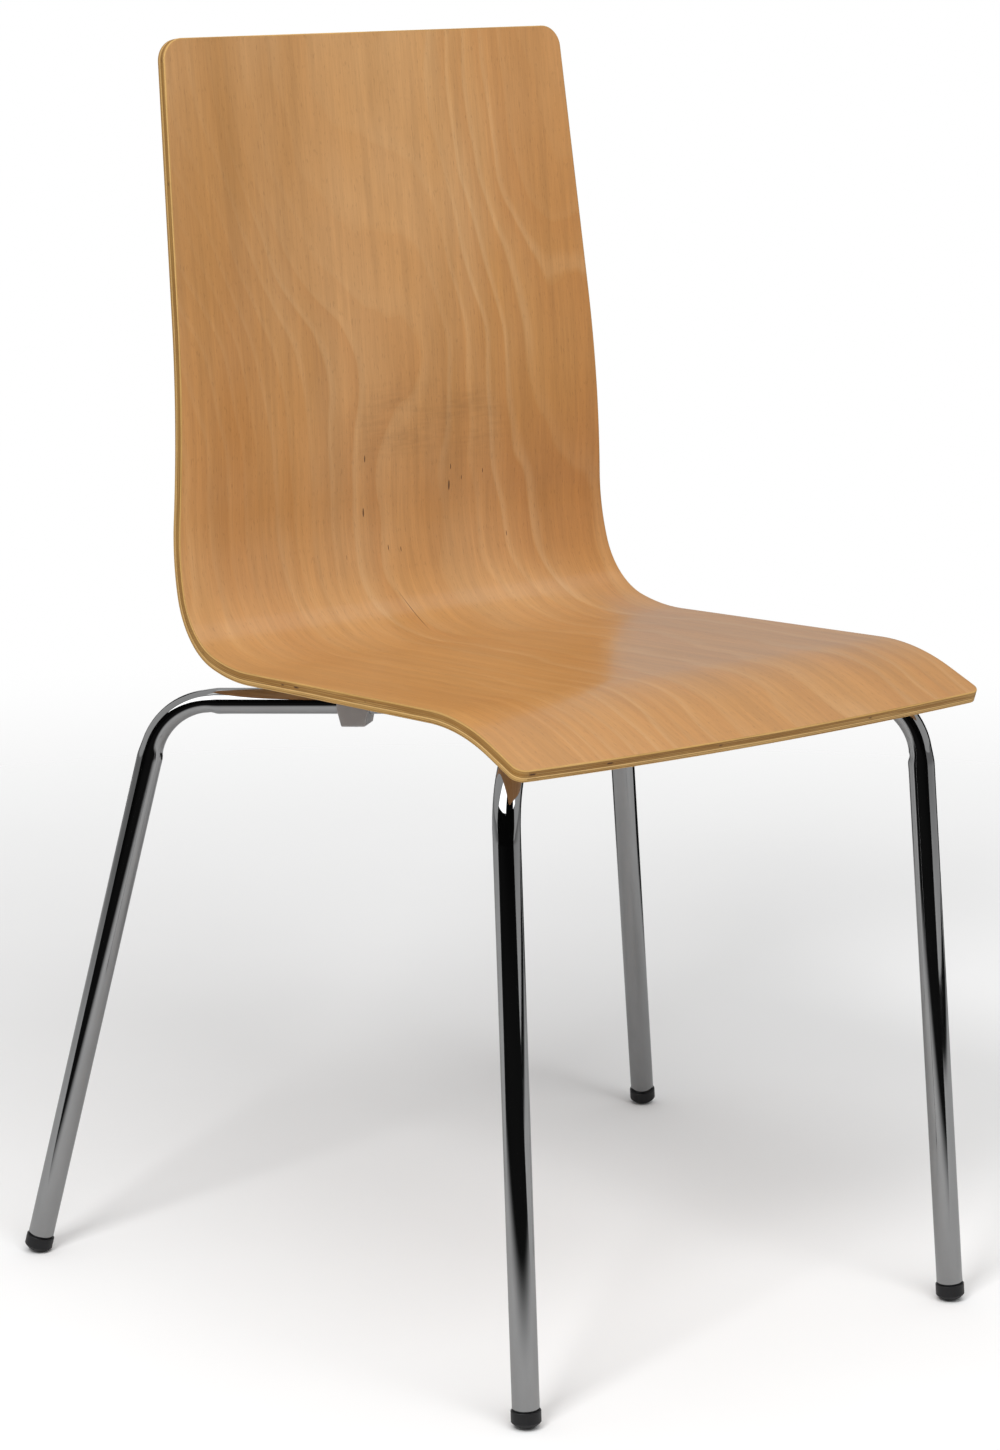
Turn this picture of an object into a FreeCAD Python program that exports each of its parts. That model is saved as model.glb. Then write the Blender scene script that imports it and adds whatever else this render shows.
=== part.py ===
import FreeCAD, Part
import math
import os
from FreeCAD import Vector

# A stacking chair: one bent plywood shell on a chromed four-leg tube frame.
# Lengths are in millimetres and angles in degrees.
# +Z is up, the floor is z = 0, the chair faces -Y and +X is on the sitter's left.
# The origin is on the floor, in the middle of the chair's footprint.

# ---- plywood shell -------------------------------------------------------------
ply_count = 7
ply_thickness = 1.25
shell_thickness = ply_count * ply_thickness
shell_front_y = -232.2        # upper front arris at the seat's corners
shell_front_z = 434.6
seat_front_width = 390.0
seat_bend_width = 377.0       # where the seat turns up into the back
back_top_width = 340.0
front_bow = 5.4               # how far the front edge swells forward in the middle
front_corner_radius = 8.0
top_corner_radius = 15.0
shell_arris_radius = 0.8

# The upper face, from the front edge to the top of the back.
lip_flat = 32.0
lip_rise = 20.2               # slope of the front lip above the horizontal
lip_radius = 166.0
seat_fall = 3.9               # slope of the seat down towards the back
seat_flat = 213.0
bend_entry_radius = 164.0
bend_entry_turn = 16.1
bend_radius = 54.0
bend_turn = 60.4
bend_exit_radius = 151.0
bend_exit_turn = 19.1
lumbar_radius = 797.0
back_recline = 8.2            # lean of the upper back behind the vertical
back_flat = 193.0

# ---- chromed side tubes --------------------------------------------------------
tube_diameter = 18.0
tube_wall = 1.5
tube_end_chamfer = 0.5
front_foot_width = 371.0      # between the leg centre lines at the floor
front_foot_y = -230.0
front_shoulder_width = 350.0  # between the leg centre lines at the seat
front_shoulder_y = -190.4
rear_foot_width = 560.0
rear_foot_y = 229.9
rear_shoulder_width = 402.0
rear_shoulder_y = 172.5
apex_width = 18.0             # between the corners of the two V-shaped runs
apex_y = -52.0
shoulder_bend_radius = 48.0
apex_bend_radius = 50.0

# ---- centre mounting -----------------------------------------------------------
plate_thickness = 3.0
plate_margin_x = 15.0         # from the screw centres to the plate's sides
plate_margin_y = 18.0         # and to its front and rear edges
plate_corner_radius = 12.0
pad_thickness = 7.5
pad_margin = 1.5              # how far the pad stays inside the plate's outline
pad_relief_width = 60.0       # open window in the middle of the pad
pad_relief_length = 44.0
pad_relief_radius = 8.0
screw_spacing_y = 44.0
screw_tube_clearance = 0.8    # between a washer's rim and the widest part of the tube
screw_diameter = 6.0
screw_hole_clearance = 0.3    # round the shank
screw_engagement = 5.5
screw_head_diameter = 10.5
screw_head_height = 3.3
screw_head_rounding = 1.65
screw_socket_width = 4.0
screw_socket_sides = 6
screw_socket_depth = 2.0
washer_diameter = 12.0
washer_thickness = 1.2
insert_diameter = 9.0
insert_flange_diameter = 12.0
insert_flange_thickness = 1.0
insert_depth = 6.2
insert_top_gap = 0.15         # left above the insert in its blind hole

# ---- plastic spacers between the tubes and the shell ---------------------------
spacer_top_length = 22.5      # along the tube, against the shell
spacer_bottom_length = 17.0
spacer_width = 22.6
spacer_drop = 7.4             # below the tube, to rest on the chair underneath
spacer_throat = 15.0          # snap-on mouth, narrower than the tube
spacer_bore_clearance = 0.05
spacer_edge_radius = 1.2
spacer_stud_diameter = 8.0
spacer_stud_height = 1.2
spacer_stud_root = 1.0        # how far the stud reaches up into the block
front_spacer_inset = 20.0     # from the front end of the seat's flat to the spacer's middle
rear_spacer_inset = 12.4      # and from its rear end

# ---- foot glides ---------------------------------------------------------------
glide_diameter = 19.8
glide_dome_radius = 12.5
glide_facet_depth = 0.4       # worn flat where the dome meets the floor
glide_edge_radius = 0.6
glide_stem_length = 16.0
glide_stem_clearance = 0.6
glide_rib_clearance = 0.05
glide_rib_height = 1.5
glide_rib_inset = 3.8         # from the head to the first rib
glide_rib_count = 3
glide_rib_pitch = 4.5

same_place = 0.01             # gap below which two places count as one
same_length = 0.1             # share by which two lengths may differ and still match
end_zone = 2 * shell_thickness  # reach of the sheet's end corners along Y or Z

tube_radius = tube_diameter / 2
tube_bore_radius = tube_radius - tube_wall
fall = math.radians(seat_fall)
seat_normal = Vector(0, math.sin(fall), math.cos(fall))
seat_run = Vector(0, math.cos(fall), -math.sin(fall))
across = Vector(1, 0, 0)


# ---- general helpers -----------------------------------------------------------
def heading_vector(degrees):
    """Direction in the YZ plane, measured up from +Y."""
    angle = math.radians(degrees)
    return Vector(0, math.cos(angle), math.sin(angle))


def course_edges(start, start_heading, course, offset):
    """Follows straight and curved stretches and gives their edges.

    Each stretch is ("line", length) or ("arc", radius, turn), with a positive turn
    bending upwards. The offset moves the whole course below the first one.
    """
    normal = heading_vector(start_heading + 90)
    point = start - normal * offset
    heading = start_heading
    edges = []
    for stretch in course:
        if stretch[0] == "line":
            end = point + heading_vector(heading) * stretch[1]
            edges.append(Part.LineSegment(point, end).toShape())
        else:
            radius, turn = stretch[1], stretch[2]
            side = math.copysign(1, turn)
            own_radius = radius + side * offset
            centre = point + heading_vector(heading + 90 * side) * own_radius
            middle = centre + heading_vector(heading + turn / 2 - 90 * side) * own_radius
            end = centre + heading_vector(heading + turn - 90 * side) * own_radius
            edges.append(Part.Arc(point, middle, end).toShape())
            heading += turn
        point = end
    return edges, point, heading


def corner_arc(before, corner, after, radius):
    """Arc of a radius that rounds a corner, with the points where it starts and ends."""
    back = (before - corner).normalize()
    ahead = (after - corner).normalize()
    half = back.getAngle(ahead) / 2
    reach = radius / math.tan(half)
    inward = (back + ahead).normalize()
    start = corner + back * reach
    middle = corner + inward * (radius / math.sin(half) - radius)
    end = corner + ahead * reach
    return start, Part.Arc(start, middle, end).toShape(), end


def rounded_polygon(corners, radii):
    """Closed face through the corners, each rounded with its own radius or left sharp."""
    starts = []
    ends = []
    edges = []
    for index, corner in enumerate(corners):
        after = corners[(index + 1) % len(corners)]
        if radii[index]:
            start, arc, end = corner_arc(corners[index - 1], corner, after, radii[index])
            edges.append(arc)
        else:
            start = end = corner
        starts.append(start)
        ends.append(end)
    for index, end in enumerate(ends):
        edges.append(Part.LineSegment(end, starts[(index + 1) % len(starts)]).toShape())
    return Part.Face(Part.Wire(Part.__sortEdges__(edges)))


def rounded_slab(middle, width, length, thickness, corner_radius):
    """Slab in the seat's slope, with its lower face at the middle point."""
    half_x = across * (width / 2)
    half_y = seat_run * (length / 2)
    corners = [
        middle - half_x - half_y,
        middle + half_x - half_y,
        middle + half_x + half_y,
        middle - half_x + half_y,
    ]
    face = rounded_polygon(corners, [corner_radius] * 4)
    return face.extrude(seat_normal * thickness)


def seat_top_z(y):
    """Height of the seat's upper face, on its straight stretch."""
    return seat_start.z - (y - seat_start.y) * math.tan(fall)


def below_seat(x, y, depth):
    """Point at a depth square below the seat's straight upper face."""
    return Vector(x, y, seat_top_z(y)) - seat_normal * depth


def sweep(points, radii, radius):
    """Round bar through the points, with an arc at every inner point."""
    edges = []
    start = points[0]
    for index, radius_here in enumerate(radii):
        arc_start, arc, arc_end = corner_arc(*points[index:index + 3], radius_here)
        edges.append(Part.LineSegment(start, arc_start).toShape())
        edges.append(arc)
        start = arc_end
    edges.append(Part.LineSegment(start, points[-1]).toShape())
    first_direction = (points[1] - points[0]).normalize()
    section = Part.Wire(Part.makeCircle(radius, points[0], first_direction))
    return Part.Wire(edges).makePipeShell([section], True, False)


# ---- shell ---------------------------------------------------------------------
shell_course = [
    ("line", lip_flat),
    ("arc", lip_radius, -(lip_rise + seat_fall)),
    ("line", seat_flat),
    ("arc", bend_entry_radius, bend_entry_turn),
    ("arc", bend_radius, bend_turn),
    ("arc", bend_exit_radius, bend_exit_turn),
    ("arc", lumbar_radius, 90 - back_recline + seat_fall - bend_entry_turn - bend_turn - bend_exit_turn),
    ("line", back_flat),
]
shell_front = Vector(0, shell_front_y, shell_front_z)
lip_normal = heading_vector(lip_rise + 90)
seat_start = course_edges(shell_front, lip_rise, shell_course[:2], 0)[1]
seat_end = course_edges(shell_front, lip_rise, shell_course[:3], 0)[1]
shell_top = course_edges(shell_front, lip_rise, shell_course, 0)[1]
bend_middle = course_edges(
    shell_front, lip_rise, shell_course[:4] + [("arc", bend_radius, bend_turn / 2)], 0
)[1]


def shell_band():
    """Bent sheet of full width, before its outline is cut."""
    upper, upper_end = course_edges(shell_front, lip_rise, shell_course, 0)[:2]
    lower, lower_end = course_edges(shell_front, lip_rise, shell_course, shell_thickness)[:2]
    overhang = heading_vector(lip_rise) * (2 * front_bow)
    lower_start = shell_front - lip_normal * shell_thickness
    edges = upper + lower
    edges.append(Part.LineSegment(upper_end, lower_end).toShape())
    edges.append(Part.LineSegment(shell_front, shell_front - overhang).toShape())
    edges.append(Part.LineSegment(shell_front - overhang, lower_start - overhang).toShape())
    edges.append(Part.LineSegment(lower_start - overhang, lower_start).toShape())
    face = Part.Face(Part.Wire(Part.__sortEdges__(edges)))
    face.translate(across * -seat_front_width)
    return face.extrude(across * (2 * seat_front_width))


def bowed_front():
    """Drum, square to the lip, whose rim cuts the bowed front edge."""
    half_width = seat_front_width / 2
    radius = (half_width ** 2 + front_bow ** 2) / (2 * front_bow)
    middle = shell_front + heading_vector(lip_rise) * (radius - front_bow)
    height = 2 * (shell_top.z + shell_top.y - shell_front.y)
    base = middle - lip_normal * (height / 2)
    return Part.makeCylinder(radius, height, base, lip_normal)


def side_waste(side):
    """Slab outside the flat cut that trims one side from the front edge to the top."""
    front = Vector(side * seat_front_width / 2, shell_front.y, shell_front.z)
    bend = Vector(side * seat_bend_width / 2, bend_middle.y, bend_middle.z)
    top = Vector(side * back_top_width / 2, shell_top.y, shell_top.z)
    along = (bend - front).normalize()
    outward = along.cross(top - bend).normalize()
    if outward.x * side < 0:
        outward = -outward
    upward = outward.cross(along)
    reach_along = along * (2 * (shell_top.y - shell_front.y))
    reach_up = upward * (2 * shell_top.z)
    corners = [
        bend - reach_along - reach_up,
        bend + reach_along - reach_up,
        bend + reach_along + reach_up,
        bend - reach_along + reach_up,
    ]
    face = Part.Face(Part.makePolygon(corners + corners[:1]))
    return face.extrude(outward * seat_front_width)


def is_through_edge(edge):
    """Whether an edge of the shell runs square through the sheet's thickness."""
    return abs(edge.Length / shell_thickness - 1) < same_length


def is_arris(edge):
    """Whether an edge runs round the outline, where a sheet face meets the rim."""
    box = edge.BoundBox
    level = isinstance(edge.Curve, Part.Line) and max(box.YLength, box.ZLength) < same_place
    crosses_sheet = level and box.ZMax < shell_top.z - end_zone
    return not crosses_sheet and not is_through_edge(edge)


def round_corners(shell, radius, at_top):
    """Rounds the two corners of the trimmed sheet at its top or at its front edge."""
    corners = [edge for edge in shell.Edges if is_through_edge(edge)]
    chosen = [edge for edge in corners if is_end_corner(edge, at_top)]
    return shell.makeFillet(radius, chosen)


def is_end_corner(edge, at_top):
    """Whether a through edge stands at the sheet's top end or at its front end."""
    box = edge.BoundBox
    if at_top:
        return box.ZMax > shell_top.z - end_zone
    return box.YMin < shell_front.y + end_zone


def make_shell():
    """Plywood shell with its outline, soft arrises and blind insert holes."""
    shell = shell_band().common(bowed_front())
    for side in (-1, 1):
        shell = shell.cut(side_waste(side))
    shell = shell.removeSplitter()
    shell = round_corners(shell, front_corner_radius, at_top=False)
    shell = round_corners(shell, top_corner_radius, at_top=True)
    arrises = [edge for edge in shell.Edges if is_arris(edge)]
    shell = shell.makeFillet(shell_arris_radius, arrises)
    for x, y in screw_places():
        mouth = below_seat(x, y, shell_thickness)
        hole = Part.makeCylinder(
            insert_diameter / 2, insert_depth + insert_top_gap, mouth, seat_normal
        )
        recess = Part.makeCylinder(
            insert_flange_diameter / 2, insert_flange_thickness, mouth, seat_normal
        )
        shell = shell.cut(hole).cut(recess)
    return shell


# ---- frame ---------------------------------------------------------------------
tube_depth = shell_thickness + pad_thickness + plate_thickness + tube_radius


def shoulder_point(side, width, y):
    """Where a leg's centre line meets the run under the seat."""
    z = seat_top_z(y) - tube_depth / math.cos(fall)
    return Vector(side * width / 2, y, z)


def leg_line(side, end):
    """Floor point and shoulder point of one leg's centre line."""
    if end == "front":
        foot = Vector(side * front_foot_width / 2, front_foot_y, 0)
        return foot, shoulder_point(side, front_shoulder_width, front_shoulder_y)
    foot = Vector(side * rear_foot_width / 2, rear_foot_y, 0)
    return foot, shoulder_point(side, rear_shoulder_width, rear_shoulder_y)


def tube_end(side, end):
    """Middle of the tube's lower end, where the glide's head begins."""
    foot, shoulder = leg_line(side, end)
    height = glide_dome_radius - glide_facet_depth
    return foot + (shoulder - foot) * (height / shoulder.z)


def make_side_tube(side):
    """One tube: front leg, V-shaped run under the seat and rear leg."""
    points = [
        tube_end(side, "front"),
        leg_line(side, "front")[1],
        shoulder_point(side, apex_width, apex_y),
        leg_line(side, "rear")[1],
        tube_end(side, "rear"),
    ]
    radii = [shoulder_bend_radius, apex_bend_radius, shoulder_bend_radius]
    outer = sweep(points, radii, tube_radius)
    inner = sweep(points, radii, tube_bore_radius)
    tube = outer.cut(inner)
    rims = [edge for edge in tube.Edges if is_outer_rim(edge, points[0], points[-1])]
    return tube.makeChamfer(tube_end_chamfer, rims)


def is_outer_rim(edge, first_end, last_end):
    """Whether an edge is the outer circle at one of the tube's two ends."""
    curve = edge.Curve
    if not isinstance(curve, Part.Circle) or abs(curve.Radius - tube_radius) > same_place:
        return False
    gap = min(curve.Center.distanceToPoint(first_end), curve.Center.distanceToPoint(last_end))
    return gap < same_place


# ---- centre mounting -----------------------------------------------------------
def screw_offset_x():
    """Distance of the screws from the middle, clear of both arms of the tube's V."""
    apex = shoulder_point(1, apex_width, apex_y)
    reach = tube_radius + washer_diameter / 2 + screw_tube_clearance
    offsets = []
    for end in ("front", "rear"):
        arm = leg_line(1, end)[1] - apex
        plan_length = math.hypot(arm.x, arm.y)
        run_x = abs(arm.x) / plan_length
        run_y = abs(arm.y) / plan_length
        offsets.append(apex.x + (reach + run_x * screw_spacing_y / 2) / run_y)
    return max(offsets)


def screw_places():
    """Plan positions of the four shell screws."""
    places = []
    for x in (-screw_offset_x(), screw_offset_x()):
        for y in (-screw_spacing_y / 2, screw_spacing_y / 2):
            places.append((x, apex_y + y * math.cos(fall)))
    return places


def plate_size():
    """Width and length of the mounting plate, set by its screws."""
    width = 2 * (screw_offset_x() + plate_margin_x)
    length = screw_spacing_y + 2 * plate_margin_y
    return width, length


def drill(slab, depth, thickness):
    """Cuts the four screw clearance holes through a slab of the mounting."""
    for x, y in screw_places():
        start = below_seat(x, y, depth)
        radius = screw_diameter / 2 + screw_hole_clearance
        slab = slab.cut(Part.makeCylinder(radius, thickness, start, seat_normal))
    return slab


def make_plate():
    """Steel plate that lies on both tubes and carries the shell."""
    depth = shell_thickness + pad_thickness + plate_thickness
    middle = below_seat(0, apex_y, depth)
    width, length = plate_size()
    plate = rounded_slab(middle, width, length, plate_thickness, plate_corner_radius)
    return drill(plate, depth, plate_thickness)


def make_pad():
    """Moulded pad between the plate and the shell, open in the middle."""
    depth = shell_thickness + pad_thickness
    middle = below_seat(0, apex_y, depth)
    width, length = (size - 2 * pad_margin for size in plate_size())
    corner_radius = plate_corner_radius - pad_margin
    pad = rounded_slab(middle, width, length, pad_thickness, corner_radius)
    window = rounded_slab(
        middle, pad_relief_width, pad_relief_length, pad_thickness, pad_relief_radius
    )
    return drill(pad.cut(window), depth, pad_thickness)


def screw_seat_depth():
    """Depth of the washers' lower face, where the screw heads seat."""
    return shell_thickness + pad_thickness + plate_thickness + washer_thickness


def make_screw(x, y):
    """Button-head socket screw, up through plate and pad into the insert."""
    seat = below_seat(x, y, screw_seat_depth())
    shank_length = screw_seat_depth() - shell_thickness + screw_engagement
    shank = Part.makeCylinder(screw_diameter / 2, shank_length, seat, seat_normal)
    head = Part.makeCylinder(screw_head_diameter / 2, screw_head_height, seat, -seat_normal)
    rim = [edge for edge in head.Edges if is_far_rim(edge, seat, screw_head_height)]
    head = head.makeFillet(screw_head_rounding, rim)
    screw = shank.fuse(head).removeSplitter()
    return screw.cut(hex_socket(seat))


def is_far_rim(edge, start, distance):
    """Whether a circular edge lies at a distance from a cylinder's start."""
    if not isinstance(edge.Curve, Part.Circle):
        return False
    return abs(edge.Curve.Center.distanceToPoint(start) - distance) < same_place


def hex_socket(seat):
    """Hexagonal key socket in a screw's head."""
    mouth = seat - seat_normal * screw_head_height
    corner_radius = screw_socket_width / 2 / math.cos(math.pi / screw_socket_sides)
    corners = []
    for step in range(screw_socket_sides):
        angle = step * 2 * math.pi / screw_socket_sides
        spoke = across * math.cos(angle) + seat_run * math.sin(angle)
        corners.append(mouth + spoke * corner_radius)
    face = Part.Face(Part.makePolygon(corners + corners[:1]))
    return face.extrude(seat_normal * screw_socket_depth)


def make_washer(x, y):
    """Plain washer under a screw head."""
    start = below_seat(x, y, screw_seat_depth())
    disc = Part.makeCylinder(washer_diameter / 2, washer_thickness, start, seat_normal)
    radius = screw_diameter / 2 + screw_hole_clearance
    return disc.cut(Part.makeCylinder(radius, washer_thickness, start, seat_normal))


def make_insert(x, y):
    """Flanged threaded insert, set into the shell's underside."""
    mouth = below_seat(x, y, shell_thickness)
    body = Part.makeCylinder(insert_diameter / 2, insert_depth, mouth, seat_normal)
    flange = Part.makeCylinder(
        insert_flange_diameter / 2, insert_flange_thickness, mouth, seat_normal
    )
    bore = Part.makeCylinder(screw_diameter / 2, insert_depth, mouth, seat_normal)
    return body.fuse(flange).cut(bore).removeSplitter()


def at_every_screw(maker):
    """The same piece at each of the four screws, as separate solids."""
    return Part.makeCompound([maker(x, y) for x, y in screw_places()])


# ---- spacers -------------------------------------------------------------------
def make_spacer(side, end):
    """Snap-on spacer: holds the shell off the tube and rests on the chair below."""
    corner = leg_line(side, end)[1]
    apex = shoulder_point(side, apex_width, apex_y)
    along = (apex - corner).normalize()
    beside = seat_normal.cross(along).normalize()
    if end == "front":
        middle_y = seat_start.y + front_spacer_inset
    else:
        middle_y = seat_end.y - rear_spacer_inset
    middle = corner + along * ((middle_y - corner.y) / along.y)
    top = tube_depth - shell_thickness
    bottom = tube_radius + spacer_drop
    slant = (spacer_top_length - spacer_bottom_length) / 2
    corners = [
        middle + along * (-spacer_top_length / 2) + seat_normal * top,
        middle + along * (spacer_top_length / 2) + seat_normal * top,
        middle + along * (spacer_top_length / 2) - seat_normal * (tube_radius / 2),
        middle + along * (spacer_top_length / 2 - slant) - seat_normal * bottom,
        middle - along * (spacer_top_length / 2 - slant) - seat_normal * bottom,
        middle - along * (spacer_top_length / 2) - seat_normal * (tube_radius / 2),
    ]
    face = Part.Face(Part.makePolygon(corners + corners[:1]))
    face.translate(beside * (-spacer_width / 2))
    block = face.extrude(beside * spacer_width)
    block = block.makeFillet(spacer_edge_radius, block.Edges)
    stud_base = middle - seat_normal * (bottom + spacer_stud_height)
    stud = Part.makeCylinder(
        spacer_stud_diameter / 2,
        spacer_stud_height + spacer_stud_root,
        stud_base,
        seat_normal,
    )
    bore_start = middle - along * spacer_top_length
    bore = Part.makeCylinder(
        tube_radius + spacer_bore_clearance, 2 * spacer_top_length, bore_start, along
    )
    throat = snap_throat(middle, along, beside, top)
    return block.fuse(stud).cut(bore).cut(throat).removeSplitter()


def snap_throat(middle, along, beside, top):
    """Open mouth above the bore, through which the tube snaps in."""
    corner = middle - along * spacer_top_length - beside * (spacer_throat / 2)
    face = Part.Face(
        Part.makePolygon(
            [
                corner,
                corner + beside * spacer_throat,
                corner + beside * spacer_throat + seat_normal * (2 * top),
                corner + seat_normal * (2 * top),
                corner,
            ]
        )
    )
    return face.extrude(along * (2 * spacer_top_length))


# ---- glides --------------------------------------------------------------------
def make_glide(side, end):
    """Push-in glide: ribbed stem in the tube, domed head on the floor."""
    foot, shoulder = leg_line(side, end)
    axis = (shoulder - foot).normalize()
    seat = tube_end(side, end)
    head_radius = glide_diameter / 2
    barrel = Part.makeCylinder(head_radius, 2 * glide_dome_radius, seat, -axis)
    rim = [edge for edge in barrel.Edges if is_far_rim(edge, seat, 0)]
    barrel = barrel.makeFillet(glide_edge_radius, rim)
    dome = Part.makeSphere(glide_dome_radius, seat)
    head = barrel.common(dome)
    stem_radius = tube_bore_radius - glide_stem_clearance
    glide = head.fuse(Part.makeCylinder(stem_radius, glide_stem_length, seat, axis))
    for index in range(glide_rib_count):
        start = seat + axis * (glide_rib_inset + index * glide_rib_pitch)
        rib_radius = tube_bore_radius - glide_rib_clearance
        rib = Part.makeCone(rib_radius, stem_radius, glide_rib_height, start, axis)
        glide = glide.fuse(rib)
    reach = 2 * glide_diameter
    under_floor = Vector(seat.x - glide_diameter, seat.y - glide_diameter, -reach)
    below = Part.makeBox(reach, reach, reach, under_floor)
    return glide.removeSplitter().cut(below)


# ---- all pieces ----------------------------------------------------------------
sides = {"right": -1, "left": 1}
pieces = {
    "seat_shell": make_shell(),
    "mounting_plate": make_plate(),
    "shell_pad": make_pad(),
    "shell_screws": at_every_screw(make_screw),
    "screw_washers": at_every_screw(make_washer),
    "shell_inserts": at_every_screw(make_insert),
}
for side_name, side_sign in sides.items():
    pieces["side_tube_" + side_name] = make_side_tube(side_sign)
    for end_name in ("front", "rear"):
        place = end_name + "_" + side_name
        pieces["spacer_" + place] = make_spacer(side_sign, end_name)
        pieces["foot_glide_" + place] = make_glide(side_sign, end_name)

os.makedirs("parts", exist_ok=True)
for node, shape in pieces.items():
    shape.exportStep("parts/" + node + ".step")
    box = shape.BoundBox
    print(
        node, len(shape.Solids), "solid", "valid" if shape.isValid() else "NOT VALID",
        "volume %.1f" % shape.Volume,
        "x %.1f %.1f y %.1f %.1f z %.1f %.1f"
        % (box.XMin, box.XMax, box.YMin, box.YMax, box.ZMin, box.ZMax),
    )
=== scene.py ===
"""Looks of the stacking chair: one bent plywood shell on two chromed side tubes.

Everything is in metres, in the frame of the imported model: X across, Y to the back, Z up.
"""

import logging
import math
from dataclasses import dataclass, field
from enum import Enum
from typing import Optional, Sequence, Union

import bpy
import numpy as np
from mathutils import Matrix, Vector


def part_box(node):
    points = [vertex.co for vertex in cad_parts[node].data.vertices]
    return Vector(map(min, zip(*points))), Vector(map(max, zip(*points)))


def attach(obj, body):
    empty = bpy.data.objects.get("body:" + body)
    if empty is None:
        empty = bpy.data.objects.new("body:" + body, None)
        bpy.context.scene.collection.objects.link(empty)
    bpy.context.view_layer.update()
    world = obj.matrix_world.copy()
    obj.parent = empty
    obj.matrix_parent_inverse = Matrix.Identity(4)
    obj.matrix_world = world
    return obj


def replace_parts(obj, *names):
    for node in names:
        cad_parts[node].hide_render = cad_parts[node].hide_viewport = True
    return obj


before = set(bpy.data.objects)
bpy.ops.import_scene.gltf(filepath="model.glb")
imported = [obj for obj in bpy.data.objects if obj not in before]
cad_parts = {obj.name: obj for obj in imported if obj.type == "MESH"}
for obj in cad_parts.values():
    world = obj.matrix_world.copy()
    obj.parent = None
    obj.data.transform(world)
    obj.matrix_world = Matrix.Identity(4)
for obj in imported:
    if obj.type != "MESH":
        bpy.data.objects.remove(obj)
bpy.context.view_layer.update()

MM = 0.001
ROOT = "root"
Array = np.ndarray
Socket = bpy.types.NodeSocket
Value = Union[float, Socket]
Colour = tuple[float, float, float]
Zone = tuple[float, float, float, float]   # starts to rise, is full, starts to fall, is gone
CAMERA_PLACE = (-1.56111, -2.04317, 0.99448)
SAME_PLACE = 1e-9       # gap below which two places along a line count as one
HAIRLINE = 1e-6         # keeps a range of heights from being empty

log = logging.getLogger("stacking_chair")


class Slot(Enum):
    """Material slots of the record, by name; nothing in the script reads them."""

    PLYWOOD = "beech_plywood"
    TUBE = "chrome_tube"
    PLATE = "chrome_plate"


class Side(Enum):
    """The sitter's right hand is at minus X and the left hand at plus X."""

    RIGHT = -1
    LEFT = 1


class End(Enum):
    """The two legs of one side tube."""

    FRONT = "front"
    REAR = "rear"


# ---- meshes ----------------------------------------------------------------------
@dataclass
class Patch:
    """A grid of quads over points that may be shared with other patches.

    Attributes:
        index: Point number at each grid place, rows by columns.
        uv: Flat coordinate at each grid place, in metres.
        finish: Which of the piece's materials covers it.
        turned: Whether the quads face the other way.
    """

    index: Array
    uv: Array
    finish: int = 0
    turned: bool = False

    def corners(self) -> Array:
        """Grid places of each quad's four corners, as flat numbers."""
        rows, columns = self.index.shape
        place = np.arange(rows * columns).reshape(rows, columns)
        quads = np.stack(
            [place[:-1, :-1], place[:-1, 1:], place[1:, 1:], place[1:, :-1]], axis=-1
        ).reshape(-1, 4)
        return quads[:, ::-1] if self.turned else quads


def make_piece(
    name: str, points: Array, patches: Sequence[Patch], caps: Sequence[Sequence[int]] = ()
) -> bpy.types.Object:
    """Puts patches of quads, and any end caps, into one mesh object at the origin.

    Args:
        name: The piece's name.
        points: Point places, one row each, in metres.
        patches: The quad grids.
        caps: Point numbers of flat faces that close the ends.

    Returns:
        The new object, riding on the chair.
    """
    quads = [patch.corners() for patch in patches]
    faces = np.concatenate([p.index.reshape(-1)[q] for p, q in zip(patches, quads)])
    flat = np.concatenate([p.uv.reshape(-1, 2)[q.reshape(-1)] for p, q in zip(patches, quads)])
    finish = np.concatenate([np.full(len(q), p.finish) for p, q in zip(patches, quads)])
    mesh = bpy.data.meshes.new(name)
    mesh.from_pydata(points.tolist(), [], faces.tolist() + [list(cap) for cap in caps])
    cap_corners = sum(len(cap) for cap in caps)
    flat = np.concatenate([flat, np.zeros((cap_corners, 2))])
    finish = np.concatenate([finish, np.zeros(len(caps), int)])
    mesh.uv_layers.new(name="sheet").data.foreach_set("uv", flat.astype(np.float32).ravel())
    mesh.polygons.foreach_set("material_index", finish.astype(np.int32))
    mesh.polygons.foreach_set("use_smooth", np.ones(len(finish), bool))
    mesh.update()
    piece = bpy.data.objects.new(name, mesh)
    bpy.context.scene.collection.objects.link(piece)
    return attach(piece, ROOT)


def dress(piece: bpy.types.Object, *finishes: bpy.types.Material) -> None:
    """Gives a piece its materials, in the order of its finish numbers.

    Args:
        piece: A new piece or a CAD node.
        finishes: The materials.
    """
    for number, finish in enumerate(finishes):
        if number < len(piece.material_slots):
            piece.material_slots[number].material = finish
        else:
            piece.data.materials.append(finish)


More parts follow.
